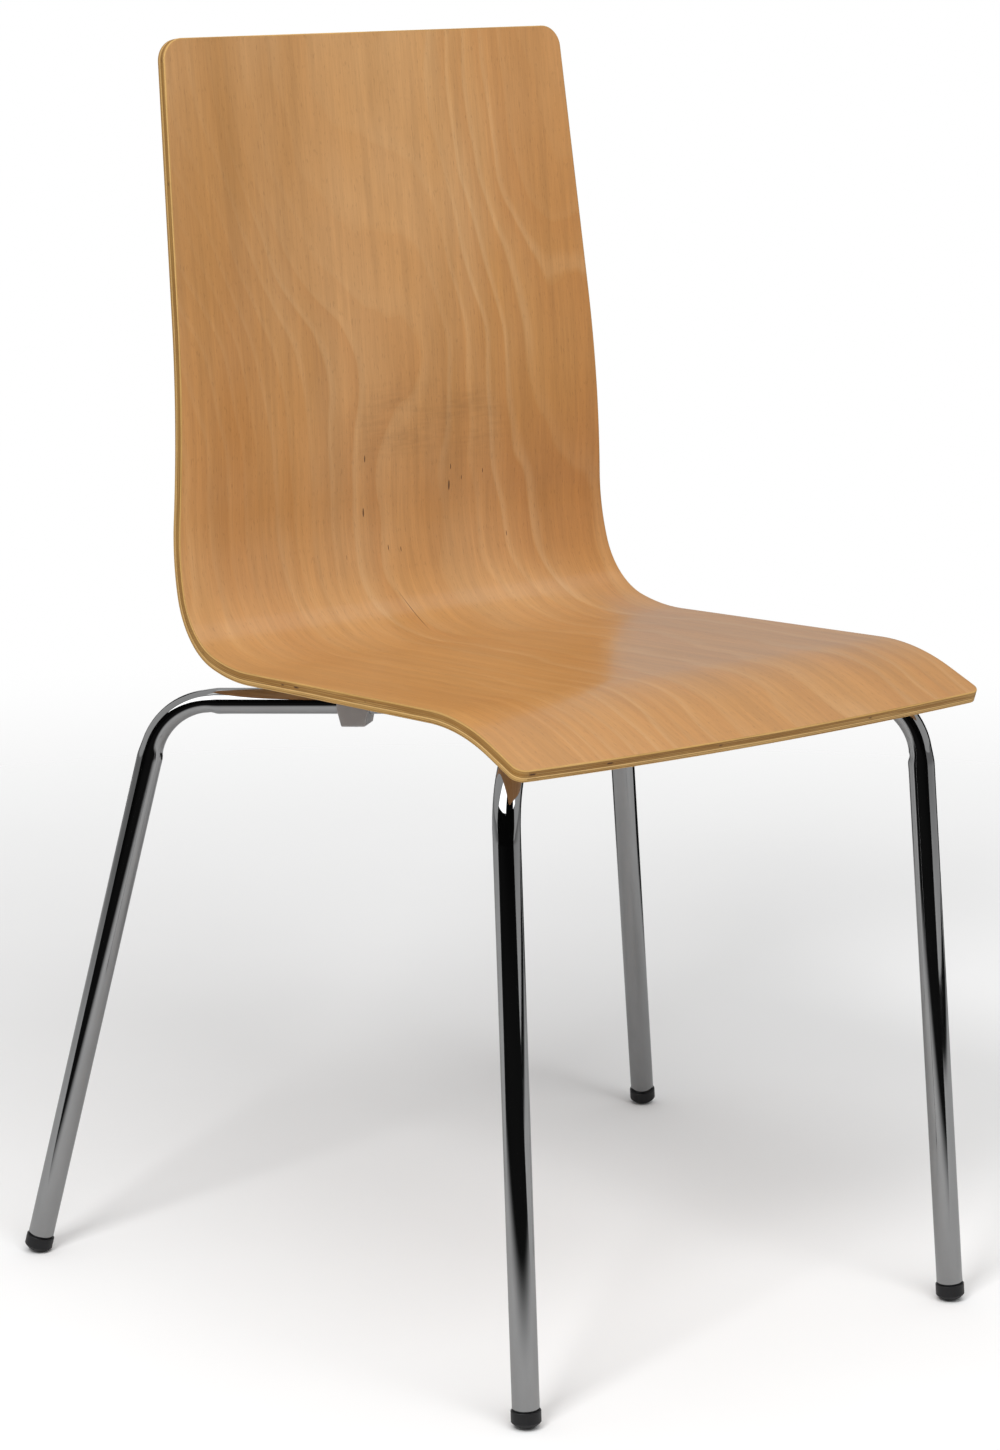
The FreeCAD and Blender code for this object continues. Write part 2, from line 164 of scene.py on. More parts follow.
# ---- material bench ----------------------------------------------------------------
class Bench:
    """Short calls that lay out the nodes of one material."""

    def __init__(self, name: str) -> None:
        """Starts a material with its shader and output.

        Args:
            name: The material's name.
        """
        self.material = bpy.data.materials.new(name)
        self.material.use_nodes = True
        self.tree = self.material.node_tree
        self.tree.nodes.clear()
        self.shader = self.tree.nodes.new("ShaderNodeBsdfPrincipled")
        output = self.tree.nodes.new("ShaderNodeOutputMaterial")
        self.tree.links.new(self.shader.outputs["BSDF"], output.inputs["Surface"])

    def feed(self, socket: Socket, value: Union[Value, Sequence[float]]) -> None:
        """Sets a socket to a number or links another socket into it.

        Args:
            socket: The input.
            value: A number, a colour, a vector or an output socket.
        """
        if isinstance(value, bpy.types.NodeSocket):
            self.tree.links.new(value, socket)
        else:
            socket.default_value = value

    def node(self, kind: str, **settings: object) -> bpy.types.Node:
        """Adds a node.

        Args:
            kind: The node's type.
            settings: Properties of the node.

        Returns:
            The node.
        """
        made = self.tree.nodes.new(kind)
        for key, value in settings.items():
            setattr(made, key, value)
        return made

    def math(self, operation: str, *values: Value) -> Socket:
        """Adds a sum, product or other operation on numbers.

        Args:
            operation: The operation's name.
            values: Its inputs.

        Returns:
            The result.
        """
        made = self.node("ShaderNodeMath", operation=operation)
        for socket, value in zip(made.inputs, values):
            self.feed(socket, value)
        return made.outputs[0]

    def times(self, first: Value, second: Value) -> Socket:
        """The product of two numbers."""
        return self.math("MULTIPLY", first, second)

    def times_plus(self, first: Value, second: Value, added: Value) -> Socket:
        """The product of two numbers with a third one added."""
        return self.math("MULTIPLY_ADD", first, second, added)

    def place(self, source: str = "UV") -> tuple[Socket, Socket, Socket]:
        """The three parts of the piece's own coordinate: UV, or Object."""
        coordinate = self.node("ShaderNodeTexCoord").outputs[source]
        parts = self.node("ShaderNodeSeparateXYZ")
        self.feed(parts.inputs[0], coordinate)
        return parts.outputs[0], parts.outputs[1], parts.outputs[2]

    def vector(self, x: Value, y: Value, z: Value = 0.0) -> Socket:
        """A vector from its three parts."""
        made = self.node("ShaderNodeCombineXYZ")
        for socket, value in zip(made.inputs, (x, y, z)):
            self.feed(socket, value)
        return made.outputs[0]

    def stretched(self, x: Value, y: Value, per_x: float, per_y: float, z: Value = 0.0) -> Socket:
        """A coordinate with its own scale on each axis.

        Args:
            x: First part.
            y: Second part.
            per_x: Features per metre along the first part.
            per_y: Features per metre along the second part.
            z: A third part, to shift the pattern.

        Returns:
            The scaled coordinate.
        """
        return self.vector(self.times(x, per_x), self.times(y, per_y), z)

    def noise(
        self, at: Socket, detail: float = 2.0, roughness: float = 0.5, scale: float = 1.0
    ) -> Socket:
        """Cloudy noise from 0 to 1.

        Args:
            at: The coordinate.
            detail: How many finer layers are added.
            roughness: How strong the finer layers are.
            scale: Features per unit of the coordinate.

        Returns:
            The noise.
        """
        made = self.node("ShaderNodeTexNoise")
        self.feed(made.inputs["Vector"], at)
        self.feed(made.inputs["Scale"], scale)
        self.feed(made.inputs["Detail"], detail)
        self.feed(made.inputs["Roughness"], roughness)
        return made.outputs["Fac"]

    def span(
        self, value: Value, low: float, high: float, to_low: float = 0.0, to_high: float = 1.0
    ) -> Socket:
        """Carries a range of a number smoothly onto another range, and holds it at the ends.

        Args:
            value: The number.
            low: Where the range starts.
            high: Where it ends.
            to_low: What it gives at the start.
            to_high: What it gives at the end.

        Returns:
            The new number.
        """
        made = self.node("ShaderNodeMapRange", interpolation_type="SMOOTHSTEP")
        for socket, number in zip(made.inputs, (value, low, high, to_low, to_high)):
            self.feed(socket, number)
        return made.outputs[0]

    def fall(self, value: Value, low: float, high: float) -> Socket:
        """1 up to the low end of a range, 0 from its high end on, and smooth between them."""
        return self.span(value, low, high, 1.0, 0.0)

    def window(self, value: Value, zone: Zone) -> Socket:
        """1 inside a zone and 0 outside it, smooth on both sides."""
        return self.times(self.span(value, zone[0], zone[1]), self.fall(value, zone[2], zone[3]))

    def mix(
        self, share: Value, first: Union[Colour, Socket], second: Union[Colour, Socket]
    ) -> Socket:
        """Mixes two colours.

        Args:
            share: How much of the second one.
            first: A colour.
            second: A colour.

        Returns:
            The mixed colour.
        """
        made = self.node("ShaderNodeMix", data_type="RGBA", blend_type="MIX")
        self.feed(made.inputs[0], share)
        for socket, colour in ((made.inputs[6], first), (made.inputs[7], second)):
            self.feed(socket, (*colour, 1.0) if isinstance(colour, tuple) else colour)
        return made.outputs[2]

    def scaled(self, colour: Union[Colour, Socket], factor: Value) -> Socket:
        """A colour made lighter or darker by a factor."""
        made = self.node("ShaderNodeVectorMath", operation="SCALE")
        self.feed(made.inputs[0], colour)
        self.feed(made.inputs["Scale"], factor)
        return made.outputs[0]

    def relief(self, height: Socket, depth: float, strength: float = 1.0) -> None:
        """Raises and lowers the surface.

        Args:
            height: Height from 0 to 1.
            depth: What 1 stands for, in metres.
            strength: How much of it shows.
        """
        made = self.node("ShaderNodeBump")
        self.feed(made.inputs["Strength"], strength)
        self.feed(made.inputs["Distance"], depth)
        self.feed(made.inputs["Height"], height)
        self.feed(self.shader.inputs["Normal"], made.outputs[0])

    def finish(self, colour: Socket, roughness: Value, **constants: float) -> bpy.types.Material:
        """Feeds the shader and hands over the material.

        Args:
            colour: Base colour.
            roughness: Roughness.
            constants: Other shader inputs, with blanks in their names as underscores.

        Returns:
            The material.
        """
        self.feed(self.shader.inputs["Base Color"], colour)
        self.feed(self.shader.inputs["Roughness"], roughness)
        for key, value in constants.items():
            self.feed(self.shader.inputs[key.replace("_", " ")], value)
        return self.material


# ---- finishes ------------------------------------------------------------------------
@dataclass(frozen=True)
class LacqueredVeneer:
    """Rotary-cut beech face veneer under satin lacquer, its grain along the sheet."""

    name: str = "lacquered_veneer"
    depth: float = 1.0               # how far the tone is deepened, as painted shade where above 1; 1 leaves it as it is
    tan: Colour = (0.500, 0.270, 0.106)
    honey: Colour = (0.445, 0.216, 0.064)
    orange: Colour = (0.400, 0.158, 0.036)
    pale: Colour = (0.600, 0.375, 0.180)
    bark: Colour = (0.040, 0.015, 0.006)
    ring_rate: float = 38.0          # growth lines per metre across, where they run straight
    ring_wander: float = 13.0        # how many lines the slow wander moves them by
    ring_lean: float = 3.0           # and how many they cross towards the top
    fibre_rate: float = 900.0
    fleck_rate: float = 820.0
    lacquer_roughness: float = 0.20
    ring_wave: float = 2.2           # lines a middling wave moves them by
    ring_quiver: float = 0.9         # and a quick one
    # painted shade: where the seat ends along the sheet; the seat is made darker honey to stand
    # for the shade the back casts on it
    seat_shade_end: tuple[float, float] = (0.30, 0.38)
    low_back: Zone = (0.36, 0.44, 0.47, 0.56)
    marks_along: Zone = (0.410, 0.425, 0.495, 0.52)
    marks_across: Zone = (-0.055, -0.04, 0.09, 0.11)
    smudge_along: Zone = (0.478, 0.510, 0.525, 0.565)
    smudge_across: Zone = (-0.06, 0.0, 0.06, 0.12)
    split_middle: tuple[float, float] = (-7.5 * MM, 377.0 * MM)
    split_bow: float = 7.0

    def rings(self, bench: Bench, x: Socket, s: Socket) -> tuple[Socket, Socket]:
        """Contours of a slowly wandering height, which loop where the log's surface dips.

        Args:
            bench: The material's bench.
            x: Place across the sheet.
            s: Place along the sheet.

        Returns:
            A sawtooth from 0 to 1 that restarts at each growth line, and how plain to see
            each line is.
        """
        slow = bench.noise(bench.stretched(x, s, 5.2, 1.25, 3.7), 1.0, 0.4)
        wave = bench.noise(bench.stretched(x, s, 7.0, 9.0, 5.5), 1.0, 0.4)
        quick = bench.noise(bench.stretched(x, s, 24.0, 8.0, 8.1), 2.0, 0.5)
        height = bench.times_plus(x, self.ring_rate, bench.times(slow, self.ring_wander))
        height = bench.times_plus(wave, self.ring_wave, height)
        height = bench.times_plus(quick, self.ring_quiver, height)
        height = bench.times_plus(bench.span(s, 0.54, 0.80), self.ring_lean, height)
        number = bench.math("FLOOR", height)
        own = bench.noise(bench.stretched(number, s, 0.83, 4.0, 2.6), 1.0)
        return bench.math("FRACT", height), bench.span(own, 0.36, 0.64, 0.25, 1.0)

    def marks(self, bench: Bench, x: Socket, s: Socket) -> Socket:
        """A few short dark bark marks in the middle of the sheet, long along the grain.

        Args:
            bench: The material's bench.
            x: Place across the sheet.
            s: Place along the sheet.

        Returns:
            1 on a mark and 0 beside it.
        """
        cells = bench.node("ShaderNodeTexVoronoi", feature="F1", voronoi_dimensions="2D")
        bench.feed(cells.inputs["Vector"], bench.stretched(x, s, 105.0, 19.0))
        bench.feed(cells.inputs["Scale"], 1.0)
        bench.feed(cells.inputs["Randomness"], 1.0)
        tint = bench.node("ShaderNodeSeparateColor")
        bench.feed(tint.inputs[0], cells.outputs["Color"])
        chosen = bench.math("GREATER_THAN", tint.outputs[0], 0.66)
        size = bench.times_plus(tint.outputs[1], 0.055, 0.035)
        inside = bench.fall(bench.math("DIVIDE", cells.outputs["Distance"], size), 0.6, 1.0)
        along = bench.window(s, self.marks_along)
        across = bench.window(x, self.marks_across)
        return bench.times(bench.times(inside, chosen), bench.times(along, across))

    def chatter(self, bench: Bench, x: Socket, s: Socket) -> Socket:
        """A smudge low on the back, with the ripples a peeling knife leaves across the grain.

        Args:
            bench: The material's bench.
            x: Place across the sheet.
            s: Place along the sheet.

        Returns:
            1 on a dark ripple and 0 beside the smudge.
        """
        ripple = bench.noise(bench.stretched(x, s, 55.0, 330.0, 3.1), 2.0, 0.6)
        patch = bench.noise(bench.stretched(x, s, 18.0, 30.0, 7.7), 2.0, 0.5)
        along = bench.window(s, self.smudge_along)
        across = bench.window(x, self.smudge_across)
        there = bench.times(bench.times(along, across), bench.span(patch, 0.35, 0.6))
        return bench.times(there, bench.span(ripple, 0.3, 0.7, 0.25, 1.0))

    def split(self, bench: Bench, x: Socket, s: Socket) -> Socket:
        """One fine curved split where the sheet bends: near a parabola, and fading at its ends.

        Args:
            bench: The material's bench.
            x: Place across the sheet.
            s: Place along the sheet.

        Returns:
            1 in the split and 0 beside it.
        """
        past = bench.math("SUBTRACT", s, self.split_middle[1])
        bow = bench.times(bench.times(past, past), self.split_bow)
        off = bench.math(
            "ABSOLUTE", bench.math("ADD", bench.math("SUBTRACT", x, self.split_middle[0]), bow)
        )
        line = bench.fall(off, 0.15 * MM, 0.65 * MM)
        reach = bench.fall(bench.math("ABSOLUTE", past), 9.0 * MM, 27.0 * MM)
        return bench.times(line, reach)

    def build(self) -> bpy.types.Material:
        """Lays out the veneer.

        Returns:
            The material, for the two faces of the sheet.
        """
        bench = Bench(self.name)
        x, s, _ = bench.place()
        cloud = bench.noise(bench.stretched(x, s, 9.0, 3.2, 1.3), 3.0, 0.55)
        warm = bench.noise(bench.stretched(x, s, 13.0, 2.2, 6.4), 2.0, 0.5)
        # painted shade: on the seat less tan and more honey, so darker, standing for the shade the
        # back casts on it
        seat_shade = bench.fall(s, *self.seat_shade_end)
        tanned = bench.times(bench.span(cloud, 0.34, 0.66), bench.times_plus(seat_shade, -0.75, 1.0))
        colour = bench.mix(tanned, self.honey, self.tan)
        # paler high on the back, fading out towards minus X
        paler_top = bench.times(bench.span(s, 0.62, 0.78), bench.span(x, -0.10, 0.02))
        colour = bench.mix(bench.times(paler_top, 0.20), colour, self.pale)
        to_right = bench.span(x, 0.0, 0.16)
        low_back = bench.window(s, self.low_back)
        ruddy = bench.times_plus(bench.times(to_right, low_back), 0.42,
                           bench.times(bench.span(warm, 0.50, 0.72), 0.30))
        colour = bench.mix(ruddy, colour, self.orange)
        ring, plain = self.rings(bench, x, s)
        strong = bench.times(plain, bench.span(x, -0.15, 0.02, 0.35, 1.0))
        strong = bench.times(strong, bench.span(cloud, 0.25, 0.6, 0.55, 1.0))
        strong = bench.times(strong, bench.span(s, 0.58, 0.72, 1.0, 0.70))
        late = bench.span(ring, 0.35, 0.97)
        late = bench.times(bench.times(late, strong), 0.30)
        colour = bench.mix(late, colour, self.orange)
        early = bench.times(bench.span(ring, 0.0, 0.09), bench.fall(ring, 0.12, 0.38))
        early = bench.times(bench.times(early, strong), 0.34)
        colour = bench.mix(early, colour, self.pale)
        streak = bench.noise(bench.stretched(x, s, 170.0, 5.0, 2.0), 3.0, 0.6)
        fibre = bench.noise(bench.stretched(x, s, self.fibre_rate, 34.0, 5.0), 2.0, 0.6)
        fleck = bench.noise(bench.stretched(x, s, self.fleck_rate, 150.0, 9.0), 1.0, 0.5)
        fleck = bench.span(fleck, 0.60, 0.74)
        light = bench.times(bench.span(streak, 0.3, 0.7, 0.935, 1.055),
                           bench.span(fibre, 0.3, 0.7, 0.955, 1.04))
        band = bench.noise(bench.stretched(x, s, 52.0, 2.6, 4.6), 2.0, 0.55)
        light = bench.times(light, bench.span(band, 0.32, 0.68, 0.955, 1.035))
        light = bench.times(light, bench.span(fleck, 0.0, 1.0, 1.0, 0.86))
        # darker high on the back towards minus X
        upper_left = bench.times(bench.fall(x, -0.17, 0.06), bench.span(s, 0.50, 0.66))
        light = bench.times(light, bench.times_plus(upper_left, -0.13, 1.0))
        light = bench.times(light, bench.times_plus(self.chatter(bench, x, s), -0.16, 1.0))
        colour = bench.scaled(colour, light)
        # painted shade: the gamma deepens the tone where depth is above 1, as on the lower face
        deepened = bench.node("ShaderNodeGamma")
        bench.feed(deepened.inputs["Color"], colour)
        bench.feed(deepened.inputs["Gamma"], self.depth)
        colour = bench.mix(
            bench.times(self.marks(bench, x, s), 0.85), deepened.outputs[0], self.bark
        )
        colour = bench.mix(bench.times(self.split(bench, x, s), 0.62), colour, self.bark)
        grain = bench.math("SUBTRACT", bench.times(fibre, 0.5), bench.times(fleck, 0.5))
        bench.relief(grain, 0.05 * MM, 0.5)
        rough = bench.span(cloud, 0.3, 0.7, 0.36, 0.44)
        return bench.finish(
            colour, rough, Coat_Weight=0.62, Coat_Roughness=self.lacquer_roughness,
            Coat_IOR=1.5, IOR=1.45, Specular_IOR_Level=0.35,
        )


@dataclass(frozen=True)
class PlyEdge:
    """The sheet's rim: tan plies, darker ones near the upper face, and a few voids."""

    plies: int
    ply: float
    bright: Colour = (0.800, 0.520, 0.205)
    pale: Colour = (0.600, 0.365, 0.125)
    tan: Colour = (0.480, 0.275, 0.078)
    core: Colour = (0.330, 0.165, 0.036)
    glue: Colour = (0.200, 0.085, 0.015)
    void: Colour = (0.060, 0.018, 0.006)

    def build(self) -> bpy.types.Material:
        """Lays out the edge, whose flat coordinate is round the rim and down through it.

        Returns:
            The material.
        """
        bench = Bench("ply_edge")
        round_rim, down, _ = bench.place()
        sway = bench.noise(bench.stretched(round_rim, down, 11.0, 0.0), 2.0)
        depth = bench.times_plus(bench.math("SUBTRACT", sway, 0.5), 0.45,
                           bench.math("DIVIDE", down, self.ply))
        ply = bench.math("FLOOR", depth)
        inside = bench.math("FRACT", depth)
        streak = bench.noise(bench.stretched(round_rim, down, 45.0, 3600.0), 3.0, 0.6)
        speckle = bench.noise(bench.stretched(round_rim, down, 1300.0, 1900.0), 2.0, 0.6)
        own = bench.noise(bench.stretched(round_rim, ply, 6.0, 2.7, 4.4), 1.0)
        colour = bench.mix(bench.span(own, 0.34, 0.66), self.tan, self.pale)
        patchy = bench.noise(bench.stretched(round_rim, ply, 15.0, 3.3, 1.7), 2.0)
        in_core = bench.math("COMPARE", ply, 2.0, 1.1)
        colour = bench.mix(
            bench.times(in_core, bench.span(patchy, 0.34, 0.60, 0.45, 1.0)), colour, self.core
        )
        colour = bench.mix(
            bench.times(bench.math("COMPARE", ply, 4.0, 0.4), 0.6), colour, self.bright
        )
        light = bench.times(bench.span(streak, 0.25, 0.75, 0.80, 1.14),
                           bench.span(speckle, 0.3, 0.7, 0.90, 1.08))
        colour = bench.scaled(colour, light)
        near_glue = bench.math("MINIMUM", inside, bench.math("SUBTRACT", 1.0, inside))
        seam = bench.noise(
            bench.stretched(round_rim, bench.math("ROUND", depth), 9.0, 2.3, 6.1), 2.0
        )
        seam = bench.times(
            bench.fall(near_glue, 0.08, 0.26), bench.span(seam, 0.36, 0.60, 0.35, 1.0)
        )
        colour = bench.mix(seam, colour, self.glue)
        # pale line along the top of the edge: partly the face veneer's pale edge, partly a painted
        # highlight on the rounded arris
        at_top = bench.math("DIVIDE", down, self.plies * self.ply)
        colour = bench.mix(bench.span(at_top, 0.02, 0.08, 0.25, 0.0), colour, self.bright)
        gap = bench.noise(bench.stretched(round_rim, ply, 62.0, 3.3, 4.0), 1.0)
        gap = bench.times(bench.span(gap, 0.66, 0.71), bench.span(near_glue, 0.05, 0.16))
        gap = bench.times(gap, bench.math("COMPARE", ply, 2.0, 0.4))
        colour = bench.mix(bench.times(gap, 0.9), colour, self.void)
        height = bench.math("SUBTRACT", bench.times(streak, 0.4), gap)
        bench.relief(height, 0.25 * MM, 0.6)
        return bench.finish(
            colour, bench.span(speckle, 0.3, 0.7, 0.42, 0.55),
            Coat_Weight=0.12, Coat_Roughness=0.3, Specular_IOR_Level=0.25,
        )


@dataclass(frozen=True)
class Chrome:
    """Bright chrome over drawn steel, with faint lines along the tube and light smudges."""

    name: str = "bright_chrome"
    radius: float = 9.0 * MM
    metal: Colour = (0.53, 0.533, 0.535)
    mirror: float = 0.045
    smudge: float = 0.10
    line_rate: float = 520.0
    line_depth: float = 0.013 * MM

    def wrapped(self, bench: Bench, per_girth: float, per_length: float) -> Socket:
        """A coordinate that meets itself round the tube.

        Args:
            bench: The material's bench.
            per_girth: Features per metre round the tube.
            per_length: Features per metre along it.

        Returns:
            The coordinate.
        """
        girth, along, _ = bench.place()
        angle = bench.math("DIVIDE", girth, self.radius)
        size = self.radius * per_girth
        return bench.vector(
            bench.times(bench.math("COSINE", angle), size),
            bench.times(bench.math("SINE", angle), size),
            bench.times(along, per_length),
        )

    def build(self) -> bpy.types.Material:
        """Lays out the chrome, whose flat coordinate is round the tube and along it.

        Returns:
            The material.
        """
        bench = Bench(self.name)
        lines = bench.noise(self.wrapped(bench, self.line_rate, 2.5), 2.0, 0.5)
        fine = bench.noise(self.wrapped(bench, 4.0 * self.line_rate, 9.0), 2.0, 0.6)
        lines = bench.times_plus(fine, 0.22, lines)
        smear = bench.noise(self.wrapped(bench, 90.0, 24.0), 3.0, 0.6)
        colour = bench.scaled(self.metal, bench.span(smear, 0.3, 0.75, 0.95, 1.03))
        rough = bench.span(smear, 0.45, 0.85, self.mirror, self.smudge)
        bench.relief(lines, self.line_depth, 0.5)
        return bench.finish(colour, rough, Metallic=1.0)


@dataclass(frozen=True)
class SatinMetal:
    """Plated steel that isn't tubing: plate, welds, screws, washers and inserts."""

    name: str
    metal: Colour
    polish: float
    brushing: float = 1400.0
    ripple: float = 0.02 * MM

    def build(self) -> bpy.types.Material:
        """Lays out the metal on object coordinates.

        Returns:
            The material.
        """
        bench = Bench(self.name)
        x, y, z = bench.place("Object")
        brushed = bench.noise(
            bench.stretched(x, y, self.brushing, self.brushing / 12, z), 2.0, 0.55
        )
        stain = bench.noise(bench.stretched(x, y, 160.0, 160.0, bench.times(z, 160.0)), 3.0, 0.6)
        colour = bench.scaled(self.metal, bench.span(stain, 0.3, 0.7, 0.86, 1.06))
        rough = bench.span(brushed, 0.3, 0.7, self.polish, self.polish + 0.14)
        bench.relief(brushed, self.ripple, 0.4)
        return bench.finish(colour, rough, Metallic=1.0)


@dataclass(frozen=True)
class MouldedPlastic:
    """Moulded plastic with spark-eroded texture, flow marks, and wear below a height."""

    name: str
    colour: Colour
    scuffed: Colour
    gloss: float
    worn_below: float = 0.0

    def build(self) -> bpy.types.Material:
        """Lays out the plastic on object coordinates.

        Returns:
            The material.
        """
        bench = Bench(self.name)
        x, y, z = bench.place("Object")
        coordinate = bench.node("ShaderNodeTexCoord").outputs["Object"]
        spark = bench.noise(coordinate, 2.0, 0.6, 1900.0)
        flow = bench.noise(coordinate, 2.0, 0.5, 55.0)
        colour = bench.scaled(self.colour, bench.span(flow, 0.3, 0.7, 0.90, 1.10))
        scratch = bench.noise(bench.stretched(x, y, 2600.0, 420.0), 2.0, 0.6)
        worn = bench.times(bench.fall(z, self.worn_below * 0.6, self.worn_below + HAIRLINE),
                          bench.span(scratch, 0.35, 0.6, 0.35, 1.0))
        colour = bench.mix(worn, colour, self.scuffed)
        rough = bench.times_plus(
            worn, 0.3, bench.span(spark, 0.3, 0.7, self.gloss, self.gloss + 0.12)
        )
        bench.relief(spark, 0.03 * MM, 0.5)
        return bench.finish(colour, rough, Specular_IOR_Level=0.45)


# ---- shell ---------------------------------------------------------------------------
@dataclass(frozen=True)
class Stretch:
    """A straight or curved stretch of the sheet; a straight one has no turn."""

    length: float
    turn: float = 0.0

    @classmethod
    def arc(cls, radius: float, degrees: float) -> "Stretch":
        """A curved stretch from its radius and its turn, up being positive."""
        return cls(radius * math.radians(abs(degrees)), math.radians(degrees))


@dataclass
class PlywoodShell:
    """The bent sheet that is both seat and back.

    The upper face follows a course from the front edge. A place on the sheet is given by
    x across it, s along the course and d down through it.
    """

    plies: int = 7
    ply: float = 1.25 * MM
    front_y: float = -232.2 * MM
    front_z: float = 434.6 * MM
    front_half: float = 195.0 * MM
    bend_half: float = 188.5 * MM
    top_half: float = 170.0 * MM
    front_bow: float = 5.4 * MM
    bow_reach: float = 90.0 * MM
    front_corner: float = 8.0 * MM
    top_corner: float = 15.0 * MM
    arris: float = 0.8 * MM
    lip_rise: float = 20.2
    row_step: float = 4.0 * MM
    column_count: int = 56
    corner_steps: int = 12
    arris_steps: int = 5
    rim_steps: int = 9
    edge_share: float = 0.992        # where the columns next to the sides lie
    under_shift: tuple[float, float] = (0.7, 1.9)   # gives the lower face its own figure
    # painted shade: the lower face is deepened to stand for the shade on the seat's underside and
    # the back's rear
    under_shade: float = 1.22
    course: tuple[Stretch, ...] = (
        Stretch(32.0 * MM),
        Stretch.arc(166.0 * MM, -24.1),
        Stretch(213.0 * MM),
        Stretch.arc(164.0 * MM, 16.1),
        Stretch.arc(54.0 * MM, 60.4),
        Stretch.arc(151.0 * MM, 19.1),
        Stretch.arc(797.0 * MM, -9.9),
        Stretch(193.0 * MM),
    )
    bend_stretch: int = 4

    @property
    def thickness(self) -> float:
        """All the plies together."""
        return self.plies * self.ply

    @property
    def length(self) -> float:
        """Along the upper face, from the front edge's corners to the top."""
        return sum(stretch.length for stretch in self.course)

    def follow(self, s: Array) -> tuple[Array, Array, Array]:
        """Follows the course: each stretch adds its chord, worked out from its turn so far.

        Args:
            s: Places along the upper face.

        Returns:
            Y, Z and the heading there, in radians above plus Y.
        """
        y = np.full_like(s, self.front_y)
        z = np.full_like(s, self.front_z)
        heading = np.full_like(s, math.radians(self.lip_rise))
        start = 0.0
        for number, stretch in enumerate(self.course):
            last = number == len(self.course) - 1
            first = number == 0
            here = np.clip(
                s - start, -np.inf if first else 0.0, np.inf if last else stretch.length
            )
            turned = here / stretch.length * stretch.turn
            chord = here * np.sinc(turned / (2 * np.pi))
            y = y + chord * np.cos(heading + turned / 2)
            z = z + chord * np.sin(heading + turned / 2)
            heading = heading + turned
            start += stretch.length
        return y, z, heading

    def side_plane(self) -> tuple[float, float, float]:
        """Half width as a flat function of y and z, through the front, the bend and the top."""
        before = sum(stretch.length for stretch in self.course[: self.bend_stretch])
        middle = before + self.course[self.bend_stretch].length / 2
        y, z, _ = self.follow(np.array([0.0, middle, self.length]))
        halves = np.array([self.front_half, self.bend_half, self.top_half])
        return tuple(np.linalg.solve(np.stack([np.ones(3), y, z], axis=1), halves))

    def place(self, x: Array, s: Array, d: Array) -> Array:
        """Carries sheet places into space, square down from the upper face.

        The flat side cut makes the half width change a little through the thickness.

        Args:
            x: Across the sheet.
            s: Along the upper face.
            d: Down through the sheet.

        Returns:
            Points, with the last axis X, Y, Z.
        """
        base, per_y, per_z = self.side_plane()
        y, z, heading = self.follow(s)
        down_y, down_z = d * np.sin(heading), -d * np.cos(heading)
        half = base + per_y * y + per_z * z
        change = per_y * down_y + per_z * down_z
        return np.stack([x * (1 + change / half), y + down_y, z + down_z], axis=-1)

    def grid(self, inset: float) -> tuple[Array, Array]:
        """The sheet's outline filled with rows, all moved in from the edge by an inset.

        Rows near an end follow the corner arcs by their angle, so s is the inset plus the
        remaining radius times one less the angle's cosine, and the half width loses the
        remaining radius times one less its sine. The front rows then bow forwards.

        Args:
            inset: How far inside the outline.

        Returns:
            x and s at each row and column.
        """
        base, per_y, per_z = self.side_plane()
        angle = np.linspace(0, np.pi / 2, self.corner_steps)
        front, top = self.front_corner - inset, self.top_corner - inset
        straight = np.arange(self.front_corner, self.length - self.top_corner, self.row_step)[1:]
        s = np.concatenate([
            inset + front * (1 - np.cos(angle)),
            straight,
            self.length - inset - top * (1 - np.cos(angle[::-1])),
        ])
        lost = np.concatenate([
            front * (1 - np.sin(angle)), np.zeros(len(straight)), top * (1 - np.sin(angle[::-1]))
        ])
        y, z, _ = self.follow(s)
        half = base + per_y * y + per_z * z - inset - lost
        even = np.linspace(-1, 1, self.column_count)
        share = np.concatenate([[-1, -self.edge_share], even[1:-1], [self.edge_share, 1]])
        x = half[:, None] * share[None, :]
        fade = np.clip(1 - s / self.bow_reach, 0, 1)
        fade = fade * fade * (3 - 2 * fade)
        bow = self.front_bow * (1 - (x / self.front_half) ** 2) * fade[:, None]
        return x, s[:, None] - bow

    @staticmethod
    def edge_loop(rows: int, columns: int) -> Array:
        """Grid places round the outside: along the front, up, back along the top and down.

        Args:
            rows: Rows of the grid.
            columns: Columns of the grid.

        Returns:
            Flat places, the first one again at the end.
        """
        place = np.arange(rows * columns).reshape(rows, columns)
        loop = [place[0, :-1], place[:-1, -1], place[-1, :0:-1], place[:0:-1, 0], place[0, :1]]
        return np.concatenate(loop)

    def rim_section(self) -> tuple[Array, Array]:
        """Inset and depth down the rim: a quarter round, a straight and a quarter round."""
        angle = np.linspace(0, np.pi / 2, self.arris_steps)
        straight = np.linspace(self.arris, self.thickness - self.arris, self.rim_steps)[1:-1]
        inset = np.concatenate([
            self.arris * (
                1 - np.sin(angle)
            ), np.zeros(len(straight)), self.arris * (1 - np.cos(angle))
        ])
        depth = np.concatenate([
            self.arris * (
                1 - np.cos(angle)
            ), straight, self.thickness - self.arris * (1 - np.sin(angle))
        ])
        return inset, depth

